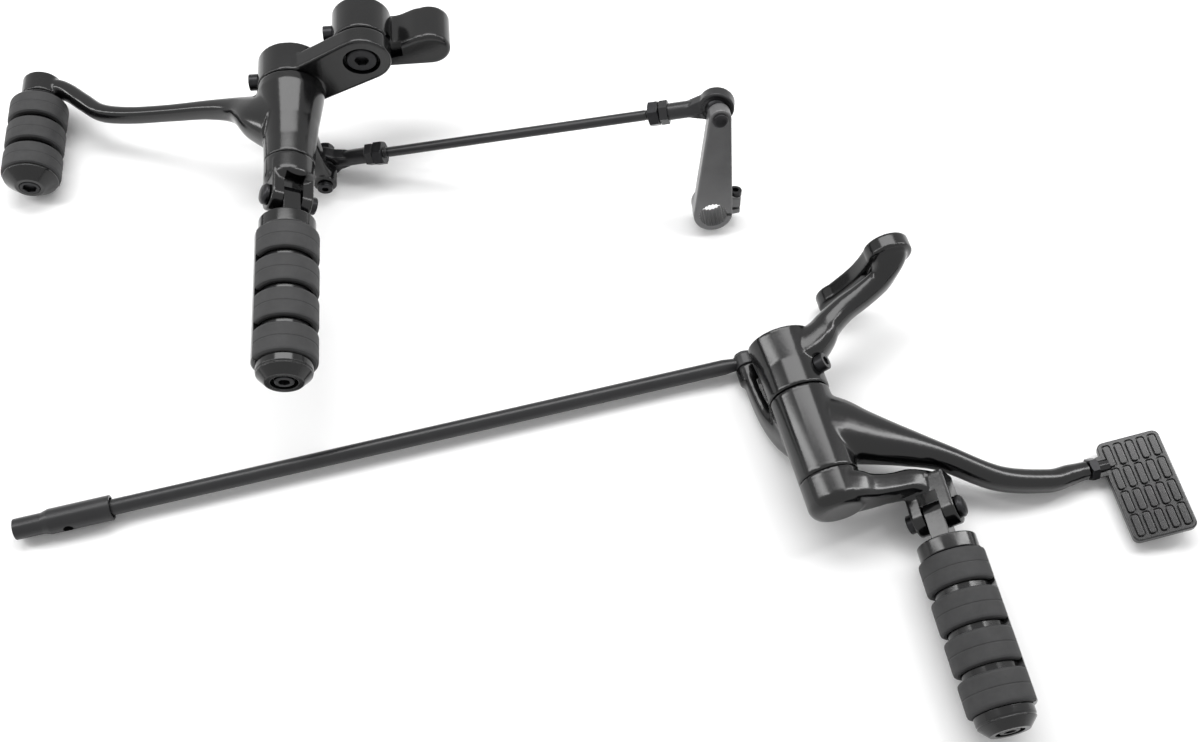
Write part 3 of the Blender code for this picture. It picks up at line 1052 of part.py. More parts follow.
def brake_side(root):
    """Everything of the brake side, from the frame flange to the pad and the rod's coupler."""
    side = frame("brake_side", root, at(z=BRAKE_AXLE_HEIGHT) @ turned(math.pi / 2, "X"))
    hinge = at(*BRAKE_PEG_AT) @ turned(BRAKE_PEG_YAW, "Y") @ turned(CLEVIS_ROLL, "Z")
    brake_bracket(side)
    peg_support("brake", side, hinge, BRAKE_HUB_END_RADIUS, BRAKE_HUB_LENGTH, BRAKE_SUPPORT_LENGTH,
                -BRAKE_AXLE_REACH + GAP, -BRAKE_LOCK_PLACE, BRAKE_LOCK_ANGLE, SUPPORT_ARM)
    footpeg("brake", side, hinge, -CLEVIS_ROLL, 1)
    swing = frame("brake_pedal_joint", side)
    brake_pedal(swing)
    brake_pad(swing)
    brake_rod(swing)


def shift_side(root):
    """Everything of the shift side, from the frame clamp to the toe peg and the gearbox arm."""
    side = frame("shift_side", root, at(SHIFT_OFFSET_X, SHIFT_OFFSET_Y, SHIFT_AXLE_HEIGHT)
                 @ turned(SHIFT_YAW, "Z") @ turned(math.pi / 2, "X"))
    hinge = at(*SHIFT_PEG_AT) @ turned(-CLEVIS_ROLL, "Z")
    shift_bracket(side)
    shift_clamp(side)
    peg_support("shift", side, hinge, SHIFT_HUB_END_RADIUS, SHIFT_HUB_LENGTH, SHIFT_SUPPORT_LENGTH,
                -SHIFT_AXLE_REACH, -SHIFT_LOCK_PLACE, math.pi, None)
    footpeg("shift", side, hinge, math.pi + CLEVIS_ROLL, -1)
    swing = frame("shift_lever_joint", side)
    shift_lever(swing)
    toe_peg(swing)
    shift_linkage(side, swing)


def settle(root):
    """Put the origin under the middle of the whole set, on the floor."""
    bpy.context.view_layer.update()
    corners = [made.matrix_world @ vertex.co for made in bpy.data.objects if made.type == "MESH"
               for vertex in made.data.vertices]
    low = [min(corner[axis] for corner in corners) for axis in range(3)]
    high = [max(corner[axis] for corner in corners) for axis in range(3)]
    root.matrix_basis = at(-(low[0] + high[0]) / 2, -(low[1] + high[1]) / 2, -low[2])
    bpy.context.view_layer.update()


controls = frame("forward_controls", None)
brake_side(controls)
shift_side(controls)
settle(controls)
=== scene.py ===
"""Motorcycle forward controls laid out on a pale floor: a brake side and a shift side, in gloss black.

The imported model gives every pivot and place. Each section makes one piece, or a group of like pieces, with
its own sizes, finish and place, in the order in which the two sides go together. Metres throughout.
"""
import json
import math

import bmesh
import bpy
import numpy as np
from mathutils import Matrix, Vector

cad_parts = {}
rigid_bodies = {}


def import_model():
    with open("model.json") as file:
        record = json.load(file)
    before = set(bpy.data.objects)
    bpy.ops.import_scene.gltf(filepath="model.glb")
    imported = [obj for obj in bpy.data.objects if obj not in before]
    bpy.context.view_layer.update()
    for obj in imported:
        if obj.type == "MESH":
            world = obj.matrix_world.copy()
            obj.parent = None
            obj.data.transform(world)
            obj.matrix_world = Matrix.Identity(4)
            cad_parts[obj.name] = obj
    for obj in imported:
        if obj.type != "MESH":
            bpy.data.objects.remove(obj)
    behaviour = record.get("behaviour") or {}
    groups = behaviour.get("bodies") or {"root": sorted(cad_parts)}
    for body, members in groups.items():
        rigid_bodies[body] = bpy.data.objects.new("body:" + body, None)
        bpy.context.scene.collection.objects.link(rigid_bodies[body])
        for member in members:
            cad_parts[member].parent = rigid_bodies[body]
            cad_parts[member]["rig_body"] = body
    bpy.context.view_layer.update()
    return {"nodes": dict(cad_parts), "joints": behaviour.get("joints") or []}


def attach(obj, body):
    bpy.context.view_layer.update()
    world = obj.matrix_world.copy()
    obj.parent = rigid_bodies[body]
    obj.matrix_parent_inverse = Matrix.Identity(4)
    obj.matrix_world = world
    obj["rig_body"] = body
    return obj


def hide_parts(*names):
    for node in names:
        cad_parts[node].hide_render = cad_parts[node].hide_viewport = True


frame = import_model()

# The two sides and their pivots.
# Each side is built round its pivot axle. Its own axes are X along the motorcycle, Y up and Z outboard, and
# the footpegs, ball joints and gearbox arm have axes of their own, all read from the joints of the model.
JOINTS = {joint["name"]: joint for joint in frame["joints"]}
UP = Vector((0, 0, 1))


def joint_place(name):
    """Where a joint's pivot is."""
    return Vector(JOINTS[name]["pos_m"])


def joint_axis(name):
    """The direction of a joint's pivot."""
    return Vector(JOINTS[name]["axis"]).normalized()


def axes_at(place, x_axis, z_axis):
    """A set of axes at a place, from its X and Z directions."""
    y_axis = z_axis.cross(x_axis)
    return Matrix.Translation(place) @ Matrix((x_axis, y_axis, z_axis)).transposed().to_4x4()


def shifted(x=0.0, y=0.0, z=0.0):
    """A shift without a turn."""
    return Matrix.Translation((x, y, z))


def rotated(angle, axis):
    """A turn about X, Y or Z."""
    return Matrix.Rotation(angle, 4, axis)


ALONG_X = rotated(math.pi / 2, "Y")
BRAKE = axes_at(joint_place("brake_pedal_pivot"), UP.cross(joint_axis("brake_pedal_pivot")),
                joint_axis("brake_pedal_pivot"))
SHIFT = axes_at(joint_place("shift_lever_pivot"), UP.cross(joint_axis("shift_lever_pivot")),
                joint_axis("shift_lever_pivot"))


def peg_axes(joint):
    """Axes of a footpeg: X along its hinge pin and Z out along the peg, which lies level."""
    x_axis = -joint_axis(joint)
    z_axis = Vector((x_axis.y, -x_axis.x, 0)).normalized()
    return axes_at(joint_place(joint), x_axis, z_axis)


BRAKE_PEG = peg_axes("brake_peg_fold")
SHIFT_PEG = peg_axes("shift_peg_fold")

# Studio.
# A white sweep seen from above, as for a catalogue picture. The lamps give the long soft highlights of gloss
# black metal, and the floor keeps the soft shadow of each piece.
CAMERA_AT = Vector((-0.0782, -0.4049, 0.7621))
CAMERA_TARGET = Vector((0.0199, -0.0229, 0.0204))
CAMERA_LENS = 42.0
FLOOR_SIZE = 12.0
FLOOR_DROP = 0.0004
PAPER_LIT = (0.55, 1.10)
WORLD_LIGHT = 0.50
WHITE = (1.0, 1.0, 1.0)


class Shade:
    """A socket of a shader, with arithmetic that adds the nodes it needs."""

    def __init__(self, socket):
        self.socket = socket

    def node(self, kind, settings=None, inputs=None, output=0):
        """Another node of the same shader, its settings first and then its sockets."""
        made = self.socket.id_data.nodes.new(kind)
        for name, value in (settings or {}).items():
            if name == "stops":
                ramp = made.color_ramp
                while len(ramp.elements) < len(value):
                    ramp.elements.new(1.0)
                for element, (place, grey) in zip(ramp.elements, value):
                    element.position = place
                    element.color = (grey, grey, grey, 1)
            else:
                setattr(made, name, value)
        for name, value in (inputs or {}).items():
            if isinstance(value, Shade):
                self.socket.id_data.links.new(value.socket, made.inputs[name])
            else:
                made.inputs[name].default_value = value
        return Shade(made.outputs[output])

    def math(self, operation, first, second):
        """A Math node on two values."""
        return self.node("ShaderNodeMath", {"operation": operation}, {0: first, 1: second})

    def __add__(self, other):
        return self.math("ADD", self, other)

    __radd__ = __add__

    def __mul__(self, other):
        return self.math("MULTIPLY", self, other)

    __rmul__ = __mul__

    def into(self, shader, name):
        """Feed this value to a socket of the surface."""
        self.socket.id_data.links.new(self.socket, shader.inputs[name])


def new_material(name):
    """A fresh material, its surface node and the piece's own coordinates."""
    made = bpy.data.materials.new(name)
    made.use_nodes = True
    surface = made.node_tree.nodes["Principled BSDF"]
    return made, surface, Shade(surface.outputs["BSDF"]).node("ShaderNodeTexCoord", output="Object")


def grain(place, scale, detail=3.0, roughness=0.5):
    """Noise on the piece's own coordinates, about one patch to each 1 / scale metres."""
    return place.node("ShaderNodeTexNoise", {}, {"Vector": place, "Scale": scale, "Detail": detail,
                                                "Roughness": roughness})


def tint(factor, dark, light):
    """A colour between two by a value."""
    return factor.node("ShaderNodeMix", {"data_type": "RGBA"},
                       {"Factor": factor, 6: (*dark, 1), 7: (*light, 1)}, output=2)


def relief(height, depth, strength=1.0):
    """A fine surface relief of a depth in metres."""
    return height.node("ShaderNodeBump", {}, {"Height": height, "Distance": depth, "Strength": strength})


camera = bpy.data.objects.new("camera", bpy.data.cameras.new("camera"))
bpy.context.scene.collection.objects.link(camera)
camera.data.lens = CAMERA_LENS
camera.data.sensor_width = 36.0
camera.data.clip_start = 0.01
camera.data.clip_end = 50.0
camera.location = CAMERA_AT
camera.rotation_mode = "QUATERNION"
camera.rotation_quaternion = (CAMERA_TARGET - CAMERA_AT).to_track_quat("-Z", "Y")
bpy.context.scene.camera = camera
bpy.context.scene.view_settings.view_transform = "Standard"

world = bpy.data.worlds.new("studio")
bpy.context.scene.world = world
world.use_nodes = True
backdrop = world.node_tree.nodes["Background"]
backdrop.inputs["Color"].default_value = (*WHITE, 1)
glow = Shade(backdrop.outputs["Background"])
shown = glow.node("ShaderNodeLightPath", output="Is Camera Ray")
for ray in ("Is Glossy Ray", "Is Transmission Ray"):
    shown = shown.math("MAXIMUM", shown, glow.node("ShaderNodeLightPath", output=ray))
(shown * (1 - WORLD_LIGHT) + WORLD_LIGHT).into(backdrop, "Strength")


def lamp(name, place, width, length, power):
    """A soft box that points at the middle of the floor."""
    light = bpy.data.lights.new(name, "AREA")
    light.shape = "RECTANGLE"
    light.size = width
    light.size_y = length
    light.energy = power
    made = bpy.data.objects.new(name, light)
    bpy.context.scene.collection.objects.link(made)
    made.location = place
    made.rotation_mode = "QUATERNION"
    made.rotation_quaternion = (-Vector(place)).to_track_quat("-Z", "Y")


lamp("left_box", (-0.95, 0.35, 0.80), width=0.13, length=1.20, power=5.5)
lamp("right_box", (0.95, 0.10, 0.75), width=0.11, length=1.10, power=4.5)
lamp("top_box", (0.10, 0.55, 1.15), width=1.40, length=0.50, power=13.0)

floor_mesh = bpy.data.meshes.new("floor")
half_floor = FLOOR_SIZE / 2
floor_mesh.from_pydata([(-half_floor, -half_floor, -FLOOR_DROP), (half_floor, -half_floor, -FLOOR_DROP),
                        (half_floor, half_floor, -FLOOR_DROP), (-half_floor, half_floor, -FLOOR_DROP)],
                       [], [(0, 1, 2, 3)])
floor = bpy.data.objects.new("floor", floor_mesh)
bpy.context.scene.collection.objects.link(floor)
floor_paper, paper_surface, paper_place = new_material("studio_paper")
paper_surface.inputs["Base Color"].default_value = (0.98, 0.98, 0.98, 1)
paper_surface.inputs["Roughness"].default_value = 0.9
from_centre = paper_place.node("ShaderNodeVectorMath", {"operation": "LENGTH"}, {0: paper_place}, output=1)
far_out = from_centre.node("ShaderNodeMapRange", {}, {"Value": from_centre, "From Min": PAPER_LIT[0],
                                                      "From Max": PAPER_LIT[1]})
plain_white = far_out.node("ShaderNodeEmission", {}, {"Color": (*WHITE, 1), "Strength": 1.0})
paper = far_out.node("ShaderNodeMixShader", {}, {0: far_out, 1: Shade(paper_surface.outputs["BSDF"]),
                                                 2: plain_white})
paper.into(floor_paper.node_tree.nodes["Material Output"], "Surface")
floor_mesh.materials.append(floor_paper)

# Brake bracket.
# A forging with the axle tube at one end, a curved arm and the two-lobed flange that bolts to the frame. It
# is ground, powder coated in gloss black and then bored, so its edges are soft and its inner corners full.
GAP = 0.0003
OVERCUT = 0.002
CRISP = 1e-6
EASE = 0.0006
SHARP_EDGE = math.radians(38)
CAST_GRID = 0.00075
AXLE_BORE = 0.0098
SCREW_SHANK = 0.0033
SCREW_SEAT = 0.00565
SEAT_OPEN = 0.003
SEAT_BITE = 0.0002
BRAKE_TUBE = 0.0185
BRAKE_TUBE_FAR = 0.0200
BRAKE_TUBE_STEP = -0.018
BRAKE_TUBE_BACK = -0.038
FLANGE_NEAR = -0.063
FLANGE_BACK = -0.073
FLANGE_LOW = (0.049, -0.0173)
FLANGE_HIGH = (0.074, 0.026)
FLANGE_HOLE = 0.00525


def powder_coat():
    """Gloss black powder coat: deep black with a faint orange peel and a clear, wet shine."""
    made, surface, place = new_material("powder_coat_black")
    cloud = grain(place, 55.0, 2.0)
    peel = grain(place, 620.0, 2.0, 0.4)
    swell = grain(place, 190.0, 1.0, 0.3)
    tint(cloud, (0.0022, 0.0022, 0.0024), (0.0046, 0.0046, 0.0049)).into(surface, "Base Color")
    (cloud * 0.06 + 0.14).into(surface, "Roughness")
    relief(peel * 0.55 + swell * 0.45, 0.000035, 0.55).into(surface, "Normal")
    surface.inputs["Specular IOR Level"].default_value = 0.42
    return made, "gloss_black"


POWDER_COAT = powder_coat()


def arc_points(centre, radius, first, last, steps):
    """Points of an arc, both ends included."""
    angles = [first + (last - first) * step / steps for step in range(steps + 1)]
    return [(centre[0] + radius * math.cos(angle), centre[1] + radius * math.sin(angle)) for angle in angles]


def eased(profile, edge, closed):
    """The profile with each clear corner turned into a small curve."""
    points = []
    count = len(profile)
    for index, corner in enumerate(profile):
        here = Vector(corner)
        if not closed and index in (0, count - 1):
            points.append(tuple(here))
            continue
        before = Vector(profile[index - 1]) - here
        after = Vector(profile[(index + 1) % count]) - here
        if before.length < 1e-7 or after.length < 1e-7 or before.angle(after) > math.radians(166):
            points.append(tuple(here))
            continue
        start = here + before.normalized() * min(edge, 0.42 * before.length)
        stop = here + after.normalized() * min(edge, 0.42 * after.length)
        for share in (0.0, 0.3, 0.7, 1.0):
            point = start * (1 - share) ** 2 + here * 2 * share * (1 - share) + stop * share ** 2
            points.append(tuple(point))
    return points


def closed_mesh(work):
    """The bmesh as a mesh whose faces point out."""
    bmesh.ops.recalc_face_normals(work, faces=work.faces)
    mesh = bpy.data.meshes.new("form")
    work.to_mesh(mesh)
    work.free()
    return mesh


def turned(profile, edge=EASE, around=96, start=0.0, sweep=math.tau):
    """A piece turned about Z from (radius, height) points, its corners eased."""
    solid = profile[0][0] == 0
    outline = eased(profile, edge, not solid)
    work = bmesh.new()
    whole = sweep > math.tau - 0.001
    tips = {}
    columns = []
    for step in range(around if whole else around + 1):
        angle = start + sweep * step / around
        column = []
        for index, (radius, height) in enumerate(outline):
            if radius < 1e-9:
                if index not in tips:
                    tips[index] = work.verts.new((0, 0, height))
                column.append(tips[index])
            else:
                column.append(work.verts.new((radius * math.cos(angle), radius * math.sin(angle), height)))
        columns.append(column)
    for step in range(around):
        near = columns[step]
        far = columns[(step + 1) % len(columns)]
        for index in range(len(outline) - 1 if solid else len(outline)):
            other = (index + 1) % len(outline)
            work.faces.new(list(dict.fromkeys((near[index], far[index], far[other], near[other]))))
    if not whole:
        work.faces.new(columns[0])
        work.faces.new(columns[-1])
    return closed_mesh(work)


def bar(radius, low, high, edge=0.0, around=96):
    """A round bar about Z."""
    return turned([(0, low), (radius, low), (radius, high), (0, high)], max(edge, CRISP), around)


def pressed(outline, low, high, edge=0.0, segments=3):
    """A flat outline given a thickness along Z, its rims rounded."""
    work = bmesh.new()
    base = work.faces.new([work.verts.new((x, y, low)) for x, y in outline])
    raised = bmesh.ops.extrude_face_region(work, geom=[base])["geom"]
    top = [item for item in raised if isinstance(item, bmesh.types.BMVert)]
    bmesh.ops.translate(work, verts=top, vec=(0, 0, high - low))
    if edge:
        rims = [line for line in work.edges if abs(line.verts[0].co.z - line.verts[1].co.z) < 1e-7]
        bmesh.ops.bevel(work, geom=rims, offset=edge, segments=segments, profile=0.5, affect="EDGES")
    return closed_mesh(work)


def curve_point(rows, share):
    """A point of the smooth curve between the second and third of four rows of values."""
    before, first, second, after = rows
    return [0.5 * (2 * b + (c - a) * share + (2 * a - 5 * b + 4 * c - d) * share ** 2
                   + (3 * b - a - 3 * c + d) * share ** 3)
            for a, b, c, d in zip(before, first, second, after)]


def skinned(work, rings):
    """The solid between rings of points, closed at both ends."""
    count = len(rings[0])
    for near, far in zip(rings, rings[1:]):
        for step in range(count):
            other = (step + 1) % count
            work.faces.new((near[step], near[other], far[other], far[step]))
    work.faces.new(rings[0])
    work.faces.new(rings[-1])
    return closed_mesh(work)


def forged(stations, power, steps=12, around=48):
    """A forged arm through stations of (x, y, z, width, height), its section a squarish oval."""
    path = []
    last = len(stations) - 1
    for index in range(last):
        rows = [stations[max(index - 1, 0)], stations[index], stations[index + 1],
                stations[min(index + 2, last)]]
        path += [curve_point(rows, step / steps) for step in range(steps)]
    path.append(list(stations[-1]))
    work = bmesh.new()
    rings = []
    for index, row in enumerate(path):
        ahead = Vector(path[min(index + 1, len(path) - 1)][:3])
        behind = Vector(path[max(index - 1, 0)][:3])
        run = (ahead - behind).normalized()
        side = run.cross(Vector((0, 1, 0)))
        if side.length < 0.5:
            side = Vector((0, 0, 1)) - run * run.z
        side.normalize()
        rise = side.cross(run)
        ring = []
        for step in range(around):
            angle = math.tau * step / around
            across = math.copysign(abs(math.cos(angle)) ** (2 / power), math.cos(angle))
            high = math.copysign(abs(math.sin(angle)) ** (2 / power), math.sin(angle))
            point = Vector(row[:3]) + side * across * row[3] / 2 + rise * high * row[4] / 2
            ring.append(work.verts.new(point))
        rings.append(ring)
    return skinned(work, rings)


def link_outline(first, first_radius, second, second_radius, steps=32):
    """Two round ends and the straight sides that touch both."""
    run = Vector(second) - Vector(first)
    heading = math.atan2(run.y, run.x)
    spread = math.acos((first_radius - second_radius) / run.length)
    return (arc_points(second, second_radius, heading - spread, heading + spread, steps)
            + arc_points(first, first_radius, heading + spread, heading + math.tau - spread, steps))


def waisted_outline(first, first_radius, second, second_radius, waist, steps=24):
    """Two round lobes joined by a waist that narrows smoothly."""
    run = Vector(second) - Vector(first)
    heading = run.normalized()
    side = Vector((-heading.y, heading.x))
    turn = math.atan2(run.y, run.x)
    opening = math.radians(58)
    start = run.length - second_radius * math.cos(opening)
    stop = first_radius * math.cos(opening)
    half_start = second_radius * math.sin(opening)
    half_stop = first_radius * math.sin(opening)

    def flank(sign, from_share, to_share):
        places = []
        for step in range(1, steps):
            share = from_share + (to_share - from_share) * step / steps
            rim = half_start + (half_stop - half_start) * share
            half = waist + (rim - waist) * abs(2 * share - 1) ** 1.7
            along = start + (stop - start) * share
            places.append(tuple(Vector(first) + heading * along + side * sign * half))
        return places

    points = arc_points(second, second_radius, turn - math.pi + opening, turn + math.pi - opening, 2 * steps)
    points += flank(1, 0, 1)
    points += arc_points(first, first_radius, turn + opening, turn + math.tau - opening, 2 * steps)
    return points + flank(-1, 1, 0)


def placed(mesh, matrix):
    """The mesh carried by a matrix."""
    mesh.transform(matrix)
    return mesh


def heaped(*meshes):
    """Several meshes as the loose shells of one."""
    work = bmesh.new()
    for mesh in meshes:
        work.from_mesh(mesh)
    mesh = bpy.data.meshes.new("heap")
    work.to_mesh(mesh)
    work.free()
    return mesh


def worked(mesh, setup):
    """The mesh after one modifier that setup adds to it."""
    holder = bpy.data.objects.new("holder", mesh)
    bpy.context.scene.collection.objects.link(holder)
    setup(holder)
    graph = bpy.context.evaluated_depsgraph_get()
    result = bpy.data.meshes.new_from_object(holder.evaluated_get(graph))
    bpy.data.objects.remove(holder, do_unlink=True)
    return result


def carved(mesh, tools, operation="DIFFERENCE"):
    """The mesh cut by, or joined with, each tool in turn."""
    for tool in tools:
        cutter = bpy.data.objects.new("cutter", tool)
        bpy.context.scene.collection.objects.link(cutter)

        def add_cut(holder):
            step = holder.modifiers.new("cut", "BOOLEAN")
            step.operation = operation
            step.solver = "EXACT"
            step.object = cutter

        mesh = worked(mesh, add_cut)
        bpy.data.objects.remove(cutter, do_unlink=True)
    return mesh


def cast(forms, fillet, rounds=110, grid=CAST_GRID):
    """One skin over overlapping forms, with full fillets of a radius where they meet."""
    def add_skin(holder):
        step = holder.modifiers.new("skin", "REMESH")
        step.mode = "VOXEL"
        step.voxel_size = grid

    mesh = worked(heaped(*forms), add_skin)
    count = len(mesh.vertices)
    points = np.empty(count * 3)
    mesh.vertices.foreach_get("co", points)
    points = points.reshape(-1, 3)
    lines = np.empty(len(mesh.edges) * 2, int)
    mesh.edges.foreach_get("vertices", lines)
    lines = lines.reshape(-1, 2)
    neighbours = np.bincount(lines.ravel(), minlength=count).clip(1)

    def pull():
        """From each point to the middle of its neighbours."""
        total = np.empty_like(points)
        for axis in range(3):
            total[:, axis] = (np.bincount(lines[:, 0], points[lines[:, 1], axis], count)
                              + np.bincount(lines[:, 1], points[lines[:, 0], axis], count))
        return total / neighbours[:, None] - points

    def smooth(times):
        """Take out the grid's steps without shrinking the form."""
        nonlocal points
        for _ in range(times):
            points = points + 0.50 * pull()
            points = points - 0.52 * pull()

    smooth(4)
    least = grid ** 2 / (4 * fillet)
    normals = np.empty(count * 3)
    for step in range(rounds):
        if step % 5 == 0:
            mesh.vertices.foreach_set("co", points.ravel())
            mesh.update()
            mesh.vertex_normals.foreach_get("vector", normals)
            facing = normals.reshape(-1, 3)
        rise = ((pull() * facing).sum(1) - least).clip(0, None)
        points = points + facing * rise[:, None] * 0.9
    smooth(6)
    mesh.vertices.foreach_set("co", points.ravel())
    mesh.update()
    return mesh


def fitted(mesh, node, finish, axes):
    """The piece that is seen in place of a node: shaded smooth, on the node's body, with its finish."""
    material, slot = finish
    mesh.transform(axes)
    mesh.materials.clear()
    mesh.materials.append(material)
    mesh.shade_smooth()
    mesh.set_sharp_from_angle(angle=SHARP_EDGE)
    made = bpy.data.objects.new(node + "_finished", mesh)
    bpy.context.scene.collection.objects.link(made)
    made.modifiers.new("even_shading", "WEIGHTED_NORMAL").keep_sharp = True
    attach(made, frame["nodes"][node]["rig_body"])
    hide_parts(node)


def outward(place, angle):
    """Axes whose Z points away from the axle, at a place along it and an angle above X."""
    return shifted(z=place) @ rotated(angle, "Z") @ rotated(math.pi / 2, "Y")


def seat_height(wall):
    """Height above the axle of the flat under a screw head on a round wall."""
    return math.sqrt(wall ** 2 - SCREW_SEAT ** 2) - SEAT_BITE


def screw_seat(wall, axes, start=0.0):
    """The cutter of a screw's hole and spot face in a round wall."""
    seat = seat_height(wall)
    return placed(turned([(0, start), (SCREW_SHANK, start), (SCREW_SHANK, seat), (SCREW_SEAT, seat),
                          (SCREW_SEAT, wall + SEAT_OPEN), (0, wall + SEAT_OPEN)], CRISP, 48), axes)


bracket_tube = turned([(0, BRAKE_TUBE_BACK), (BRAKE_TUBE_FAR, BRAKE_TUBE_BACK), (BRAKE_TUBE, BRAKE_TUBE_STEP),
                       (BRAKE_TUBE, -GAP), (0, -GAP)], 0.0010)
bracket_arm = forged([(0.000, 0.001, -0.0235, 0.028, 0.034), (0.011, 0.003, -0.0262, 0.025, 0.030),
                      (0.022, 0.005, -0.0322, 0.0205, 0.0240), (0.030, 0.006, -0.0390, 0.0168, 0.0203),
                      (0.042, 0.008, -0.0460, 0.0148, 0.018), (0.056, 0.011, -0.0515, 0.0142, 0.018),
                      (0.068, 0.016, -0.0570, 0.0145, 0.0195), (0.074, 0.025, -0.0640, 0.019, 0.023),
                      (0.074, 0.025, -0.0680, 0.021, 0.023)], power=2.6)
bracket_flange = pressed(waisted_outline(FLANGE_LOW, 0.0125, FLANGE_HIGH, 0.014, 0.0087), FLANGE_BACK,
                         FLANGE_NEAR, 0.0016, 4)
BRAKE_LOCK = outward(-0.012, math.radians(40))
bracket_cuts = [bar(AXLE_BORE, -0.030, OVERCUT),
                placed(bar(FLANGE_HOLE, FLANGE_BACK - OVERCUT, FLANGE_NEAR + OVERCUT), shifted(*FLANGE_LOW)),
                placed(bar(FLANGE_HOLE, FLANGE_BACK - OVERCUT, FLANGE_BACK + 0.014), shifted(*FLANGE_HIGH))]
bracket_body = carved(cast([bracket_tube, bracket_arm, bracket_flange], fillet=0.010, rounds=170),
                      bracket_cuts + [screw_seat(BRAKE_TUBE, BRAKE_LOCK)])
fitted(bracket_body, "brake_bracket", POWDER_COAT, BRAKE)

# Shift bracket.
# A thick plate between the axle tube and the round mount boss, whose counterbore takes the head of the long
# bolt. It is cast, coated in gloss black and then faced and bored.
SHIFT_TUBE = 0.021
MOUNT_AT = (0.048, 0.022)
MOUNT_BOSS = 0.0185
SHIFT_TUBE_BACK = -0.0225
PLATE_BACK = -0.0133
PLATE_FRONT = -0.0009
COUNTERBORE = 0.0115
COUNTERBORE_FLOOR = -0.0073
MOUNT_BORE = 0.0053

plate_tube = bar(SHIFT_TUBE, SHIFT_TUBE_BACK, -GAP, 0.0011)
plate_web = pressed(link_outline((0.006, 0.0), SHIFT_TUBE - 0.004, MOUNT_AT, MOUNT_BOSS), PLATE_BACK,
                    PLATE_FRONT, 0.0014, 4)
SHIFT_LOCK = outward(-0.009, math.pi)
plate_cuts = [bar(AXLE_BORE, -0.0193, OVERCUT),
              placed(turned([(0, -0.030), (MOUNT_BORE, -0.030), (MOUNT_BORE, COUNTERBORE_FLOOR),
                             (COUNTERBORE, COUNTERBORE_FLOOR), (COUNTERBORE, -0.0016),
                             (COUNTERBORE + 0.0009, OVERCUT), (0, OVERCUT)], CRISP), shifted(*MOUNT_AT)),
              screw_seat(SHIFT_TUBE, SHIFT_LOCK)]
plate_body = carved(cast([plate_tube, plate_web], fillet=0.004, rounds=60), plate_cuts)
fitted(plate_body, "shift_bracket", POWDER_COAT, SHIFT)

# Frame clamp.
# A drum behind the mount boss with an ear on a lower web. The long bolt runs through both, and a short
# screw in its side locks it. Cast and coated like the bracket.
CLAMP_BACK = -0.038
CLAMP_FRONT = -0.0136
EAR_AT = (0.090, 0.013)
EAR_RADIUS = 0.013
EAR_TOP = 0.0195
EAR_NEAR = -0.014
EAR_FAR = -0.0405
CLAMP_SCREW_AT = -0.025

clamp_drum = placed(bar(MOUNT_BOSS, CLAMP_BACK, CLAMP_FRONT, 0.0013), shifted(*MOUNT_AT))
ear_outline = arc_points(EAR_AT, EAR_RADIUS, -math.pi / 2, math.radians(112), 48)
ear_crown = ear_outline[-1]
web_x = EAR_AT[0] - 0.022
web_start = MOUNT_AT[0] + 0.004
for step in range(1, 16):
    share = step / 16
    ear_outline.append((ear_crown[0] + (web_x - ear_crown[0]) * share,
                        ear_crown[1] + (EAR_TOP - ear_crown[1]) * share * share * (3 - 2 * share)))
ear_outline += [(web_x, EAR_TOP), (web_start, EAR_TOP), (web_start, EAR_AT[1] - EAR_RADIUS)]
clamp_ear = pressed(ear_outline, EAR_FAR, EAR_NEAR, 0.0024, 4)
notch_x = MOUNT_AT[0] + MOUNT_BOSS - 0.004
notch_outline = [(notch_x, 0.008), (notch_x + 0.010, 0.010), (notch_x + 0.010, 0.030), (notch_x, 0.030)]
clamp_notch = pressed(notch_outline, EAR_NEAR - 0.0035, EAR_NEAR + 0.004)
CLAMP_SCREW = shifted(*MOUNT_AT) @ outward(CLAMP_SCREW_AT, math.pi)
clamp_cuts = [clamp_notch, placed(bar(MOUNT_BORE, -0.036, 0), shifted(*MOUNT_AT)),
              screw_seat(MOUNT_BOSS, CLAMP_SCREW, 0.008)]
clamp_body = carved(cast([clamp_drum, clamp_ear], fillet=0.005, rounds=80), clamp_cuts)
fitted(clamp_body, "shift_mount_clamp", POWDER_COAT, SHIFT)

# Socket screws and the mount bolt.
# Cap screws of hardened steel, blackened and lightly oiled, each with a hexagon socket in its turned head.
# They lock the axles and the clamp, and close the ends of the pegs.


def blackened_steel():
    """Blackened steel: dark grey metal with a soft oily sheen and slightly uneven blacking."""
    made, surface, place = new_material("blackened_steel")
    patches = grain(place, 240.0, 4.0)
    fine = grain(place, 2600.0, 2.0)
    tint(patches, (0.010, 0.010, 0.011), (0.028, 0.028, 0.030)).into(surface, "Base Color")
    (patches * 0.18 + 0.24).into(surface, "Roughness")
    relief(fine, 0.000012, 0.5).into(surface, "Normal")
    surface.inputs["Metallic"].default_value = 0.75
    return made, "satin_black"


BLACKENED_STEEL = blackened_steel()


def hexagon(flats):
    """Corners of a hexagon by its width across flats."""
    return arc_points((0, 0), flats / math.sqrt(3), 0, math.tau * 5 / 6, 5)


def socket_screw(radius, length, head, head_height, socket):
    """A cap screw: its head stands on Z = 0 and its shank runs down."""
    body = turned([(0, -length), (radius, -length), (radius, 0), (head, 0), (head, head_height),
                   (0, head_height)], 0.10 * head, 72)
    lead_in = turned([(0, head_height - 0.0004), (socket / 2, head_height - 0.0004),
                      (0.62 * socket, head_height + 0.0006), (0, head_height + 0.0006)], CRISP, 48)
    return carved(body, [pressed(hexagon(socket), 0.4 * head_height, head_height + 0.001), lead_in])


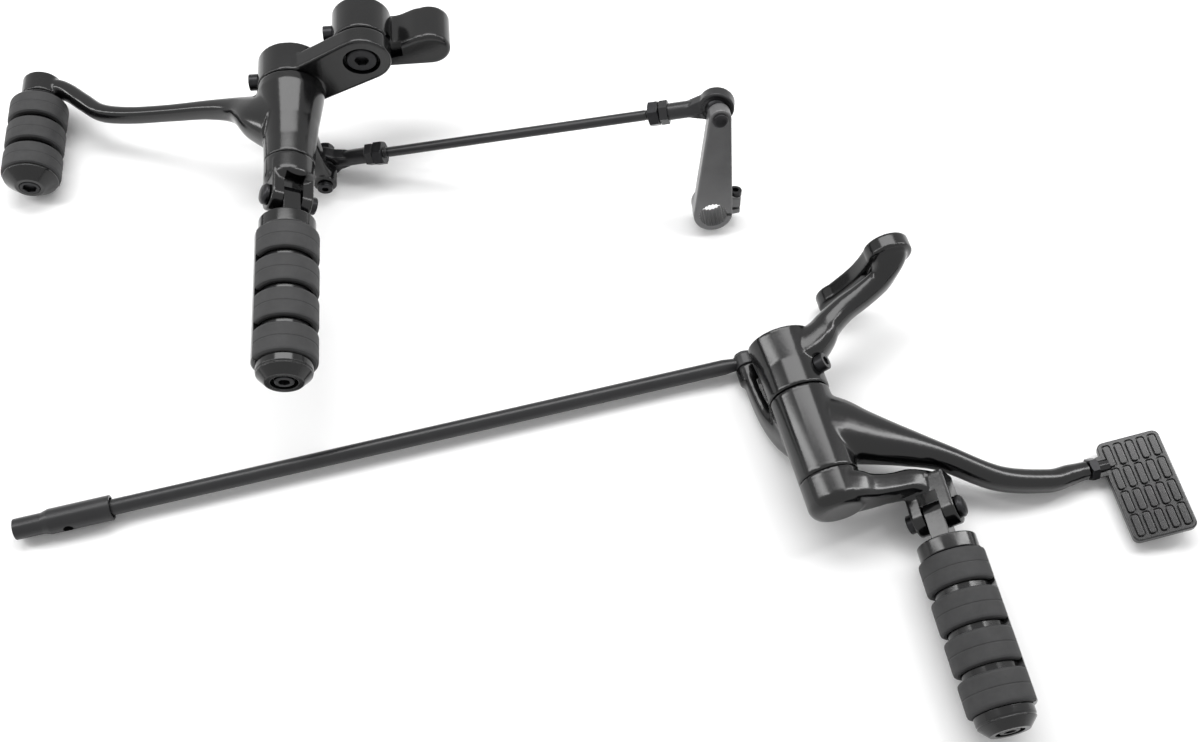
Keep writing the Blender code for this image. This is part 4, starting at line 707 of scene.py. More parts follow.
def lock_screw(node, side, wall, axes, reach):
    """The short screw that locks an axle or the clamp."""
    stand = seat_height(wall) + GAP
    screw = socket_screw(radius=0.003, length=stand - reach, head=0.00525, head_height=0.006, socket=0.005)
    fitted(placed(screw, axes @ shifted(z=stand)), node, BLACKENED_STEEL, side)


lock_screw("brake_bracket_screw", BRAKE, BRAKE_TUBE, BRAKE_LOCK, reach=0.0058)
lock_screw("shift_bracket_screw", SHIFT, SHIFT_TUBE, SHIFT_LOCK, reach=0.0058)
lock_screw("shift_clamp_screw", SHIFT, MOUNT_BOSS, CLAMP_SCREW, reach=0.0083)
mount_bolt = socket_screw(radius=0.005, length=0.028, head=0.0095, head_height=0.0055, socket=0.008)
fitted(placed(mount_bolt, shifted(*MOUNT_AT, COUNTERBORE_FLOOR + GAP)), "shift_mount_bolt", BLACKENED_STEEL,
       SHIFT)

# Brake pedal.
# One forging: a hub on two plain bushes, the long arm that sweeps out to the pad, and the short lever
# behind the bracket that pushes the rod. A big fillet runs from the hub into the arm.
HUB_BORE = 0.0120
PEDAL_HUB = 0.018
PEDAL_HUB_END = 0.0175
PEDAL_HUB_TOP = 0.0533
NECK = (0.155, -0.0222, 0.078)
NECK_STUD = 0.0035
ROD_PIN = (-0.0186, -0.0220)
ROD_PIN_RADIUS = 0.0035
ROD_PIN_BORE = ROD_PIN_RADIUS + GAP
ROD_BOSS_NEAR = -0.026
ROD_BOSS_FAR = -0.0365

pedal_hub = turned([(0, 0), (PEDAL_HUB, 0), (PEDAL_HUB_END, PEDAL_HUB_TOP), (0, PEDAL_HUB_TOP)], 0.0007)
pedal_arm = forged([(0.006, 0.000, 0.0250, 0.0465, 0.0325), (0.016, -0.001, 0.0280, 0.0400, 0.0300),
                    (0.026, -0.0015, 0.0327, 0.0325, 0.0262), (0.0382, -0.0025, 0.0388, 0.0265, 0.0226),
                    (0.0525, -0.0050, 0.0454, 0.0205, 0.0200), (0.0715, -0.0090, 0.0548, 0.0146, 0.0170),
                    (0.099, -0.0150, 0.0722, 0.0140, 0.0150), (0.128, -0.0198, 0.0792, 0.0132, 0.0136),
                    (0.142, -0.0214, 0.0786, 0.0122, 0.0124), (0.150, -0.0222, 0.0780, 0.0108, 0.0108),
                    (*NECK, 0.0102, 0.0102)], power=2.5)
rod_lever = forged([(-0.008, -0.0085, 0.0260, 0.013, 0.030), (-0.0140, -0.0150, 0.0150, 0.0100, 0.022),
                    (-0.0178, -0.0190, 0.001, 0.0085, 0.0155), (-0.0196, -0.0205, -0.016, 0.0075, 0.0135),
                    (-0.0196, -0.0210, -0.030, 0.0075, 0.012)], power=3.2)
rod_boss = placed(bar(0.0072, ROD_BOSS_FAR, ROD_BOSS_NEAR, 0.0008), shifted(*ROD_PIN))
pad_stud = placed(bar(NECK_STUD, -0.004, 0.013, 0.0004), shifted(*NECK) @ ALONG_X)
pedal_cuts = [bar(HUB_BORE, -OVERCUT, PEDAL_HUB_TOP + OVERCUT),
              placed(bar(ROD_PIN_BORE, ROD_BOSS_FAR - OVERCUT, ROD_BOSS_FAR + 0.0075), shifted(*ROD_PIN)),
              bar(BRAKE_TUBE_FAR + 2 * GAP, -0.060, -0.0001)]
pedal_skin = cast([pedal_hub, pedal_arm, rod_lever, rod_boss], fillet=0.014, rounds=260)
fitted(carved(carved(pedal_skin, [pad_stud], "UNION"), pedal_cuts), "brake_pedal", POWDER_COAT, BRAKE)

# Plain bushes.
# Two sintered bronze rings in each pivoting hub, pressed in just below its faces. They turn on the axle and
# are oiled from their own pores.
BUSH_RADIUS = 0.0117
BUSH_LENGTH = 0.016
BUSH_SINK = 0.0013
BRAKE_HUB_SEAT = PEDAL_HUB_TOP + GAP
SHIFT_HUB_SEAT = 0.0583


def sintered_bronze():
    """Sintered bronze: warm brown metal, full of fine oil pores."""
    made, surface, place = new_material("sintered_bronze")
    pores = grain(place, 1800.0, 4.0, 0.7)
    tint(pores, (0.22, 0.13, 0.06), (0.50, 0.34, 0.17)).into(surface, "Base Color")
    (pores * 0.20 + 0.34).into(surface, "Roughness")
    relief(pores, 0.00004, 0.6).into(surface, "Normal")
    surface.inputs["Metallic"].default_value = 0.9
    return made, "bronze"


SINTERED_BRONZE = sintered_bronze()


def tube(inner, outer, low, high, edge=CRISP):
    """A plain ring about Z."""
    return turned([(inner, low), (outer, low), (outer, high), (inner, high)], edge)


def bush(node, side, low):
    """One bronze ring of a hub."""
    fitted(tube(AXLE_BORE, BUSH_RADIUS, low, low + BUSH_LENGTH, 0.0003), node, SINTERED_BRONZE, side)


for side_name, side_axes, hub_seat in (("brake", BRAKE, BRAKE_HUB_SEAT), ("shift", SHIFT, SHIFT_HUB_SEAT)):
    bush(side_name + "_bush_inner", side_axes, BUSH_SINK)
    bush(side_name + "_bush_outer", side_axes, hub_seat - BUSH_SINK - BUSH_LENGTH)

# Pad and its jam nut.
# A cast pad with rows of grip bars, each standing in its own sunk slot, and a boss at its inboard edge that
# screws on to the pedal's stud against a thin nut. It has the levers' coat over the grain of the casting.
PAD_AT = (0.1830, -0.0205, 0.0963)
PAD_WIDTH = 0.037
PAD_LENGTH = 0.063
PAD_TOP = 0.0025
PAD_CORNER = 0.004
PAD_YAW = math.radians(-2.4)
PAD_LEAN = math.radians(10)
PAD_BOSS = 0.0065
PAD_NUT_HEIGHT = 0.005
BAR_COLUMNS = 5
BAR_ROWS = 4
BAR_WIDTH = 0.0037
BAR_LENGTH = 0.0128
BAR_CORNER = 0.0011
BAR_RISE = 0.0006
SLOT_RIM = 0.0009
SLOT_DEPTH = 0.0013
BAR_PITCH = (0.0068, 0.0148)


def cast_pad_coat():
    """Satin black coat over a sand casting: duller than the levers, with a fine grain."""
    made, surface, place = new_material("cast_pad_coat")
    cloud = grain(place, 90.0, 3.0)
    sand = grain(place, 1500.0, 3.0, 0.6)
    tint(cloud, (0.004, 0.004, 0.0043), (0.010, 0.010, 0.0105)).into(surface, "Base Color")
    (cloud * 0.08 + 0.20).into(surface, "Roughness")
    relief(sand, 0.00003, 0.4).into(surface, "Normal")
    surface.inputs["Specular IOR Level"].default_value = 0.55
    return made, "gloss_black"


def hex_nut(flats, height, bore):
    """A hexagon nut from Z = 0 up, its corners turned off at both ends."""
    corner = flats / math.sqrt(3)
    lead = 0.45 * (corner - flats / 2) + 0.0002
    blank = turned([(bore + 0.0004, 0), (corner - 1.6 * lead, 0), (corner + 0.0001, lead),
                    (corner + 0.0001, height - lead), (corner - 1.6 * lead, height), (bore + 0.0004, height),
                    (bore, height - 0.0004), (bore, 0.0004)], CRISP)
    return carved(blank, [pressed(hexagon(flats), -0.001, height + 0.001)], "INTERSECT")


def pad_outline(width, length, corner, steps):
    """An upright rectangle with round corners."""
    outline = []
    for quarter, (sign_x, sign_y) in enumerate(((1, 1), (-1, 1), (-1, -1), (1, -1))):
        outline += arc_points((sign_x * (width / 2 - corner), sign_y * (length / 2 - corner)), corner,
                              quarter * math.pi / 2, (quarter + 1) * math.pi / 2, steps)
    return outline


CAST_PAD_COAT = cast_pad_coat()
pad_plate = pressed(pad_outline(PAD_WIDTH, PAD_LENGTH, PAD_CORNER, 10), -PAD_TOP, PAD_TOP, 0.0009, 4)
bar_outline = pad_outline(BAR_WIDTH, BAR_LENGTH, BAR_CORNER, 6)
slot_outline = pad_outline(BAR_WIDTH + 2 * SLOT_RIM, BAR_LENGTH + 2 * SLOT_RIM, BAR_CORNER + SLOT_RIM, 6)
grip_bars = []
grip_slots = []
for column in range(BAR_COLUMNS):
    for row in range(BAR_ROWS):
        bar_place = shifted((column - (BAR_COLUMNS - 1) / 2) * BAR_PITCH[0],
                            (row - (BAR_ROWS - 1) / 2) * BAR_PITCH[1])
        grip_bars.append(placed(pressed(bar_outline, 0, PAD_TOP + BAR_RISE, 0.0004, 3), bar_place))
        grip_slots.append(placed(pressed(slot_outline, PAD_TOP - SLOT_DEPTH, PAD_TOP + OVERCUT), bar_place))
PAD_STAND = shifted(*PAD_AT) @ rotated(PAD_YAW, "Y") @ rotated(PAD_LEAN, "Z") @ rotated(-math.pi / 2, "X")
BOSS_START = shifted(NECK[0] + 2 * GAP + PAD_NUT_HEIGHT, NECK[1], NECK[2]) @ ALONG_X
pad_boss = placed(turned([(0, 0), (0.0060, 0), (PAD_BOSS, 0.005), (PAD_BOSS, 0.018), (0, 0.018)]), BOSS_START)
above_pad = pressed([(-0.05, -0.05), (0.05, -0.05), (0.05, 0.05), (-0.05, 0.05)], PAD_TOP - 0.0001, 0.02)
pad_boss = carved(pad_boss, [placed(above_pad, PAD_STAND)])
pad_body = carved(placed(pad_plate, PAD_STAND), [pad_boss], "UNION")
pad_body = carved(pad_body, [placed(heaped(*grip_slots), PAD_STAND),
                             placed(bar(NECK_STUD + GAP, -0.001, 0.008), BOSS_START)])
pad_body = carved(pad_body, [placed(heaped(*grip_bars), PAD_STAND)], "UNION")
fitted(pad_body, "brake_pad", CAST_PAD_COAT, BRAKE)
pad_nut = hex_nut(flats=0.012, height=PAD_NUT_HEIGHT, bore=NECK_STUD + GAP)
fitted(placed(pad_nut, shifted(NECK[0] + GAP, NECK[1], NECK[2]) @ ALONG_X), "brake_pad_nut",
       BLACKENED_STEEL, BRAKE)

# Brake rod, its pin and clip, and the coupler.
# A long steel bar with a flat eye at the pedal and a turned coupler at the far end, which screws on to the
# master cylinder's push rod. The cross hole shows how far the threads go in. All of it is satin black.
ROD_RADIUS = 0.00475
EYE_HALF = 0.004
EYE_MIDDLE = ROD_BOSS_FAR - GAP - EYE_HALF
COUPLER_START = -0.4577
COUPLER_LENGTH = 0.0554
ROD_IN_COUPLER = 0.020
ROD_LENGTH = -(COUPLER_START - ROD_PIN[0]) - COUPLER_LENGTH + ROD_IN_COUPLER
COUPLER_NECK = 0.00625
COUPLER_RADIUS = 0.0075
COUPLER_LIP = 0.004
THREAD_FLANK = 0.0004
THREAD_DEPTH = 0.0003


def satin_coat(name, dark, light):
    """Satin coat on steel: a soft sheen with a fine texture and slight clouding."""
    made, surface, place = new_material(name)
    cloud = grain(place, 70.0, 3.0)
    fine = grain(place, 2200.0, 2.0)
    tint(cloud, dark, light).into(surface, "Base Color")
    (cloud * 0.12 + 0.26).into(surface, "Roughness")
    relief(fine, 0.000016, 0.5).into(surface, "Normal")
    surface.inputs["Metallic"].default_value = 0.35
    return made, "satin_black"


SATIN_COAT = satin_coat("satin_coat_black", (0.010, 0.010, 0.011), (0.020, 0.020, 0.021))
rod_eye = bar(0.007, -EYE_HALF, EYE_HALF, 0.0009)
rod_bar = turned([(0, 0.002), (0.0036, 0.002), (0.0038, 0.0055), (ROD_RADIUS, 0.014),
                  (ROD_RADIUS, ROD_LENGTH), (0, ROD_LENGTH)], 0.0008, 64)
rod_body = carved(rod_eye, [placed(rod_bar, rotated(-math.pi / 2, "Y"))], "UNION")
rod_body = carved(rod_body, [bar(ROD_PIN_BORE, -0.008, 0.008)])
ROD_AXES = BRAKE @ shifted(*ROD_PIN, EYE_MIDDLE)
fitted(rod_body, "brake_rod", SATIN_COAT, ROD_AXES)


def thread(root, first, pitch, turns):
    """Outline points of a screw thread, from its first crest up."""
    points = []
    for turn in range(turns):
        crest = first + turn * pitch
        points += [(root, crest - THREAD_FLANK), (root + THREAD_DEPTH, crest), (root, crest + THREAD_FLANK)]
    return points


coupler_body = turned([(0, 0), (COUPLER_NECK, 0), (COUPLER_NECK, 0.016), (COUPLER_RADIUS, 0.020),
                       (COUPLER_RADIUS, COUPLER_LENGTH), (0, COUPLER_LENGTH)])
rod_seat = COUPLER_LENGTH - ROD_IN_COUPLER - 2 * GAP
rod_mouth = COUPLER_LENGTH - COUPLER_LIP
thread_root = 0.0035
thread_pitch = 0.00125
thread_turns = 24
rod_hole = ROD_RADIUS + GAP
thread_profile = [(0, -0.001), (0.0041, -0.001), (thread_root, 0.0006),
                  *thread(thread_root, 0.0012, thread_pitch, thread_turns), (thread_root, rod_seat - 0.003),
                  (rod_hole, rod_seat), (rod_hole, rod_mouth), (0.0060, rod_mouth),
                  (0.0060, COUPLER_LENGTH + 0.001), (0, COUPLER_LENGTH + 0.001)]
sight_hole = placed(bar(0.003, -0.012, 0.012), shifted(z=0.030) @ ALONG_X)
coupler_body = carved(coupler_body, [turned(thread_profile, CRISP, 72), sight_hole])
fitted(coupler_body, "rod_coupler", SATIN_COAT, ROD_AXES @ shifted(COUPLER_START - ROD_PIN[0]) @ ALONG_X)

pin_top = ROD_BOSS_FAR + 0.0072
clip_near = EYE_MIDDLE - EYE_HALF - GAP
fitted(placed(bar(ROD_PIN_RADIUS, clip_near - 0.0024, pin_top, 0.0005), shifted(*ROD_PIN)), "brake_rod_pin",
       BLACKENED_STEEL, BRAKE)
fitted(placed(tube(ROD_PIN_BORE, 0.0055, clip_near - 0.0012, clip_near, 0.0002), shifted(*ROD_PIN)),
       "brake_pin_clip", BLACKENED_STEEL, BRAKE)

# Peg supports.
# The outboard hub of each side, in one piece with the axle inside and the two ears that hold the footpeg.
# On the brake side a squarish arm stands between the hub and the ears. Gloss black, the ears machined flat.
AXLE = 0.0095
CLEVIS_WIDTH = 0.026
CLEVIS_RADIUS = 0.0095
CLEVIS_SLOT = 0.012
CLEVIS_LENGTH = 0.022
PIN_BORE = 0.0043
SUPPORT_EDGE = 0.0070


def pressed_across(outline, width, edge, segments):
    """A flat outline of (height, y) points with its thickness along X, half to each side."""
    mesh = pressed(outline, -width / 2, width / 2, edge, segments)
    mesh.transform(Matrix(((0, 0, 1, 0), (0, 1, 0, 0), (1, 0, 0, 0), (0, 0, 0, 1))))
    mesh.flip_normals()
    return mesh


def clevis_block():
    """Both ears before their slot is cut, with the hinge pin along X."""
    outline = arc_points((0, 0), CLEVIS_RADIUS, -math.pi / 2, math.pi / 2, 32)
    outline += [(-CLEVIS_LENGTH, CLEVIS_RADIUS), (-CLEVIS_LENGTH, -CLEVIS_RADIUS)]
    return pressed_across(outline, CLEVIS_WIDTH, 0.0011, 4)


def clevis_cuts(axes):
    """The slot between the ears and the hole of the hinge pin."""
    reach = CLEVIS_RADIUS + 0.004
    half = CLEVIS_SLOT / 2
    slot = pressed([(-half, -reach), (half, -reach), (half, reach), (-half, reach)], -0.0115, reach)
    return [placed(slot, axes), placed(bar(PIN_BORE, -CLEVIS_WIDTH, CLEVIS_WIDTH), axes @ ALONG_X)]


def peg_support(node, side, peg, hub, low, length, axle_end, lock, stations):
    """The hub, axle and ears of one side."""
    high = low + length
    rim = arc_points((hub - SUPPORT_EDGE, high - SUPPORT_EDGE), SUPPORT_EDGE, 0, math.pi / 2, 12)
    barrel = turned([(0, low), (hub, low), *rim, (0, high)], 0.0004)
    in_side = side.inverted() @ peg
    forms = [barrel, placed(clevis_block(), in_side)]
    if stations:
        forms.append(forged(stations, power=5.5))
    body = carved(cast(forms, fillet=0.0065, rounds=130), [bar(AXLE, axle_end, low + 0.002, 0.0008)], "UNION")
    dimple = placed(bar(SCREW_SHANK, 0.0055, 0.0115), lock)
    fitted(carved(body, clevis_cuts(in_side) + [dimple]), node, POWDER_COAT, side)


support_arm = [(0.000, 0.0000, 0.0642, 0.0200, 0.0340), (0.010, -0.0005, 0.0650, 0.0182, 0.0310),
               (0.020, -0.0025, 0.0662, 0.0150, 0.0235), (0.033, -0.0055, 0.0660, 0.0132, 0.0192),
               (0.045, -0.0085, 0.0655, 0.0140, 0.0190), (0.055, -0.0105, 0.0685, 0.0150, 0.0185),
               (0.062, -0.0110, 0.0720, 0.0140, 0.0180)]
peg_support("brake_peg_support", BRAKE, BRAKE_PEG, hub=PEDAL_HUB_END, low=BRAKE_HUB_SEAT, length=0.0217,
            axle_end=-0.0297, lock=BRAKE_LOCK, stations=support_arm)
peg_support("shift_peg_support", SHIFT, SHIFT_PEG, hub=0.0155, low=SHIFT_HUB_SEAT, length=0.0177,
            axle_end=-0.0190, lock=SHIFT_LOCK, stations=None)

# Footpegs.
# A turned core with a tongue for the hinge and a spine along its forward side, four rubber rings that are
# pushed on between the spine's edges, and a coned cap held by a socket screw in its recess.
COLLAR_START = 0.017
COLLAR_END = 0.026
COLLAR = 0.017
SLEEVE = 0.0155
RING = 0.01925
RING_WIDTH = 0.019
RING_PITCH = 0.023
FIRST_RING = COLLAR_END + 0.0005
SLEEVE_END = FIRST_RING + 3 * RING_PITCH + RING_WIDTH
SPINE = 0.0190
SPINE_HALF = math.radians(31)
TONGUE = 0.0075
TONGUE_WIDTH = 0.011
PEG_CAP = 0.0165
PEG_CAP_LENGTH = 0.0112
PEG_RECESS = 0.008
PEG_RECESS_DEPTH = 0.0052
PEG_SCREW_BORE = 0.0043
PEG_SCREW_LENGTH = 0.025
HINGE_HEAD = 0.0065
CLEVIS_ROLL = math.radians(32)


def peg_rubber():
    """Matt moulded rubber: near black, with a fine stipple and a grey bloom in patches."""
    made, surface, place = new_material("peg_rubber")
    bloom = grain(place, 110.0, 4.0, 0.6)
    stipple = grain(place, 2400.0, 2.0, 0.6)
    tint(bloom, (0.020, 0.020, 0.0205), (0.052, 0.052, 0.053)).into(surface, "Base Color")
    (bloom * 0.14 + 0.56).into(surface, "Roughness")
    relief(stipple, 0.00007, 0.7).into(surface, "Normal")
    surface.inputs["Specular IOR Level"].default_value = 0.28
    return made, "rubber"


PEG_RUBBER = peg_rubber()


def rubber_ring(inner, outer, low, width, start=0.0, sweep=math.tau):
    """A rubber ring with full round edges and the fine line of its mould at the middle."""
    high = low + width
    middle = (low + high) / 2
    return turned([(inner, low), (outer - 0.0016, low), (outer - 0.0003, low + 0.0008), (outer, low + 0.0020),
                   (outer, middle - 0.0005), (outer - 0.00035, middle), (outer, middle + 0.0005),
                   (outer, high - 0.0020), (outer - 0.0003, high - 0.0008), (outer - 0.0016, high),
                   (inner, high)], 0.0003, 96, start, sweep)


def footpeg(side_name, side, peg, front, head_sign):
    """One folding footpeg with its hinge pin and nut."""
    core = turned([(0, COLLAR_START), (COLLAR, COLLAR_START), (COLLAR, COLLAR_END), (SLEEVE, COLLAR_END),
                   (SLEEVE, SLEEVE_END), (0, SLEEVE_END)], 0.0008)
    spine = turned([(SLEEVE - 0.002, COLLAR_END - 0.002), (COLLAR - 0.0005, COLLAR_END - 0.002),
                    (SPINE, FIRST_RING + 0.0015), (SPINE, SLEEVE_END - 0.001), (SPINE - 0.001, SLEEVE_END),
                    (SLEEVE - 0.002, SLEEVE_END)], 0.0004, 32, front - SPINE_HALF, 2 * SPINE_HALF)
    outline = arc_points((0, 0), TONGUE, math.pi / 2, math.pi * 3 / 2, 32)
    outline += [(COLLAR_START + 0.003, -TONGUE), (COLLAR_START + 0.003, TONGUE)]
    tongue = pressed_across(outline, TONGUE_WIDTH, 0.0005, 3)
    core = carved(core, [spine, tongue], "UNION")
    cap_low = SLEEVE_END + GAP
    cap_high = cap_low + PEG_CAP_LENGTH
    recess = cap_high - PEG_RECESS_DEPTH
    core = carved(core, [placed(bar(PIN_BORE, -0.011, 0.011), ALONG_X),
                         bar(PEG_SCREW_BORE, recess - PEG_SCREW_LENGTH, SLEEVE_END + 0.001)])
    fitted(core, side_name + "_peg_core", POWDER_COAT, peg)
    opening = SPINE_HALF + 0.0004 / SLEEVE
    for index in range(4):
        ring = rubber_ring(SLEEVE + GAP, RING, FIRST_RING + index * RING_PITCH, RING_WIDTH, front + opening,
                           math.tau - 2 * opening)
        fitted(ring, side_name + "_peg_rubber_" + str(index + 1), PEG_RUBBER, peg)
    cap = turned([(PEG_SCREW_BORE, cap_low), (PEG_CAP, cap_low), (PEG_CAP, cap_low + 0.0045),
                  (PEG_CAP - 0.0005, cap_low + 0.0050), (PEG_CAP - 0.0005, cap_low + 0.0055),
                  (PEG_CAP - 0.00025, cap_low + 0.0060), (0.01125, cap_high), (PEG_RECESS, cap_high),
                  (PEG_RECESS, recess), (PEG_SCREW_BORE, recess)], 0.0004)
    fitted(cap, side_name + "_peg_cap", POWDER_COAT, peg)
    screw = socket_screw(radius=0.004, length=PEG_SCREW_LENGTH, head=0.00575, head_height=0.0045,
                         socket=0.006)
    fitted(placed(screw, shifted(z=recess + GAP)), side_name + "_peg_screw", BLACKENED_STEEL, peg)
    seat = CLEVIS_WIDTH / 2 + GAP
    pin = turned([(0, -seat - 0.0035), (0.004, -seat - 0.0035), (0.004, seat), (HINGE_HEAD, seat),
                  (HINGE_HEAD, seat + 0.002), (0.8 * HINGE_HEAD, seat + 0.0034),
                  (0.4 * HINGE_HEAD, seat + 0.004), (0, seat + 0.004)], 0.0005)
    along_pin = peg @ rotated(head_sign * math.pi / 2, "Y")
    fitted(pin, side_name + "_hinge_pin", BLACKENED_STEEL, along_pin)
    fitted(tube(PIN_BORE, 0.0055, -seat - 0.004, -seat, EASE), side_name + "_pin_nut", BLACKENED_STEEL,
           along_pin)


footpeg("brake", BRAKE, BRAKE_PEG, -CLEVIS_ROLL, 1)
footpeg("shift", SHIFT, SHIFT_PEG, math.pi + CLEVIS_ROLL, -1)

# Shift lever.
# One forging on two bushes: a waisted hub, the long S-shaped toe arm and the short arm that drops to the
# linkage. It has the same gloss coat as the brackets.
TOE_AT = (-0.1755, -0.0414)
TOE_BOSS = 0.0125
TOE_BOSS_LOW = -0.0564
TOE_BOSS_HIGH = -0.0413
TOE_BOLT_BORE = 0.0043
TOE_BOLT_DEPTH = 0.012
LINK_AT = (0.0135, -0.0486)
LINK_LOW = 0.0263
LINK_HIGH = 0.0397
LINK_BOLT_BORE = 0.0033
LEVER_TOP = SHIFT_HUB_SEAT - GAP

lever_hub = turned([(0, GAP), (0.021, GAP), (0.021, 0.006), (0.0198, 0.014), (0.0176, 0.028),
                    (0.0161, 0.044), (0.0155, LEVER_TOP), (0, LEVER_TOP)], 0.0008)
toe_arm = forged([(TOE_AT[0] + 0.004, TOE_AT[1] + 0.0005, -0.0492, 0.0125, 0.0150),
                  (-0.164, -0.0400, -0.0484, 0.0118, 0.0145), (-0.156, -0.0395, -0.0442, 0.0110, 0.0140),
                  (-0.145, -0.0385, -0.0343, 0.0110, 0.0132), (-0.132, -0.0370, -0.0235, 0.0105, 0.0125),
                  (-0.112, -0.0330, -0.0165, 0.0095, 0.0120), (-0.084, -0.0250, -0.0095, 0.0092, 0.0120),
                  (-0.056, -0.0155, -0.0020, 0.0105, 0.0135), (-0.036, -0.0085, 0.0060, 0.0150, 0.0175),
                  (-0.020, -0.0030, 0.0175, 0.0300, 0.0265), (-0.006, 0.0000, 0.0240, 0.0420, 0.0310)],
                 power=2.4)
toe_boss = placed(bar(TOE_BOSS, TOE_BOSS_LOW, TOE_BOSS_HIGH, 0.0013), shifted(*TOE_AT))
link_middle = (LINK_LOW + LINK_HIGH) / 2
drop_arm = forged([(0.006, -0.006, 0.028, 0.018, 0.016), (0.009, -0.018, 0.0300, 0.0150, 0.0125),
                   (LINK_AT[0] - 0.002, -0.032, link_middle, 0.0125, 0.0105),
                   (LINK_AT[0], LINK_AT[1] + 0.002, link_middle, 0.0115, 0.0105)], power=3.0)
link_boss = placed(bar(0.0075, LINK_LOW, LINK_HIGH, 0.0008), shifted(*LINK_AT))
lever_cuts = [bar(HUB_BORE, -OVERCUT, LEVER_TOP + OVERCUT),
              placed(bar(TOE_BOLT_BORE, TOE_BOSS_HIGH - TOE_BOLT_DEPTH, TOE_BOSS_HIGH + OVERCUT),
                     shifted(*TOE_AT)),
              placed(bar(LINK_BOLT_BORE, 0.010, 0.060), shifted(*LINK_AT))]
lever_skin = cast([lever_hub, toe_arm, toe_boss, drop_arm, link_boss], fillet=0.008, rounds=150)
fitted(carved(lever_skin, lever_cuts), "shift_lever", POWDER_COAT, SHIFT)

# Toe peg.
# A turned sleeve with a coned collar, three rubber rings and a coned cap, all held on the lever's boss by
# one long socket bolt.
TOE = SHIFT @ shifted(*TOE_AT)
TOE_SLEEVE = 0.014
TOE_RING = 0.0185
TOE_RING_WIDTH = 0.0170
TOE_RING_PITCH = 0.0206
toe_low = TOE_BOSS_HIGH + GAP
toe_collar = toe_low + 0.005
toe_first = toe_collar + GAP
toe_end = toe_first + 2 * TOE_RING_PITCH + TOE_RING_WIDTH
fitted(turned([(TOE_BOLT_BORE, toe_low), (TOE_BOSS, toe_low), (0.0172, toe_collar), (TOE_SLEEVE, toe_collar),
               (TOE_SLEEVE, toe_end), (TOE_BOLT_BORE, toe_end)], 0.0004), "toe_peg_sleeve", POWDER_COAT, TOE)
for index in range(3):
    ring = rubber_ring(TOE_SLEEVE + GAP, TOE_RING, toe_first + index * TOE_RING_PITCH, TOE_RING_WIDTH)
    fitted(ring, "toe_rubber_" + str(index + 1), PEG_RUBBER, TOE)
toe_cap_low = toe_end + GAP
toe_cap_high = toe_cap_low + 0.0075
toe_recess = toe_cap_high - 0.004
toe_cap = turned([(TOE_BOLT_BORE, toe_cap_low), (0.017, toe_cap_low), (0.017, toe_cap_low + 0.0015),
                  (0.009, toe_cap_high), (0.0065, toe_cap_high), (0.0065, toe_recess),
                  (TOE_BOLT_BORE, toe_recess)], 0.0004)
fitted(toe_cap, "toe_peg_cap", POWDER_COAT, TOE)
toe_seat = toe_recess + GAP
toe_bolt = socket_screw(radius=0.004, length=toe_seat - (TOE_BOSS_HIGH - TOE_BOLT_DEPTH) - GAP, head=0.0062,
                        head_height=0.004, socket=0.008)
fitted(placed(toe_bolt, shifted(z=toe_seat)), "toe_peg_bolt", BLACKENED_STEEL, TOE)

# Shift linkage.
# A threaded rod between two ball-joint rod ends, locked by jam nuts. Each eye holds a drilled ball, which
# turns on the lever's bolt at the front and on the arm's stud at the rear.
BALL = 0.0076
BALL_HALF = 0.006
ROD_END_EYE = 0.011
SHANK_END = 0.0355
SHANK_DEPTH = 0.017
LINK_ROD = 0.00325
LINK_BORE = LINK_ROD + GAP
LINK_NUT_HEIGHT = 0.005
JAM_NUT_HEIGHT = 0.0065
THREAD_PITCH = 0.001
THREAD_LENGTH = 0.026
FINE_GRID = 0.0005
front = joint_place("front_swivel")
rear = joint_place("rear_swivel")
link_run = (rear - front).normalized()
link_span = (rear - front).length


def across(place, direction, pin_axis):
    """Axes with X along a rod and Z as near as it can be to the pin through its eye."""
    z_axis = (pin_axis - direction * pin_axis.dot(direction)).normalized()
    return axes_at(place, direction, z_axis)


FRONT_END = across(front, link_run, joint_axis("front_ball_turn"))
REAR_END = across(rear, -link_run, joint_axis("shifter_arm_turn"))


def rod_end(node, axes):
    """One rod end: eye, race groove, waisted shank and hexagon, with the seat of its ball."""
    eye = bar(ROD_END_EYE, -0.004, 0.004, 0.0010)
    shank = placed(turned([(0, 0.004), (0.0040, 0.004), (0.0046, 0.010), (0.00525, 0.018), (0.00525, 0.031),
                           (0, 0.031)], 0.0008), ALONG_X)
    work = bmesh.new()
    corners = ((-1, -1), (1, -1), (1, 1), (-1, 1))
    waist = ((0.004, 0.0086, 0.0034), (0.009, 0.0068, 0.0036), (0.0185, 0.0038, 0.0038))
    rings = [[work.verts.new((x, y * wide, z * high)) for y, z in corners] for x, wide, high in waist]
    body = cast([eye, shank, skinned(work, rings)], fillet=0.003, rounds=60, grid=FINE_GRID)
    collar = placed(pressed(hexagon(0.0130), 0.0300, SHANK_END, 0.0006, 3), ALONG_X)
    body = carved(body, [collar], "UNION")
    seat = BALL + GAP
    race = [(0, -seat), *arc_points((0, 0), seat, -math.pi * 15 / 32, math.pi * 15 / 32, 30), (0, seat)]
    groove = tube(0.0086, 0.0090, 0.0036, 0.0044)
    thread_bore = placed(bar(LINK_BORE, SHANK_END - SHANK_DEPTH - GAP, SHANK_END + OVERCUT), ALONG_X)
    fitted(carved(body, [turned(race, CRISP), groove, thread_bore]), node, SATIN_COAT, axes)


def link_ball(node, axes):
    """The drilled ball of a rod end."""
    half_turn = math.asin(BALL_HALF / BALL)
    profile = [(LINK_BOLT_BORE, BALL_HALF), (LINK_BOLT_BORE, -BALL_HALF),
               *arc_points((0, 0), BALL, -half_turn, half_turn, 24)]
    fitted(turned(profile, 0.0002), node, BLACKENED_STEEL, axes)


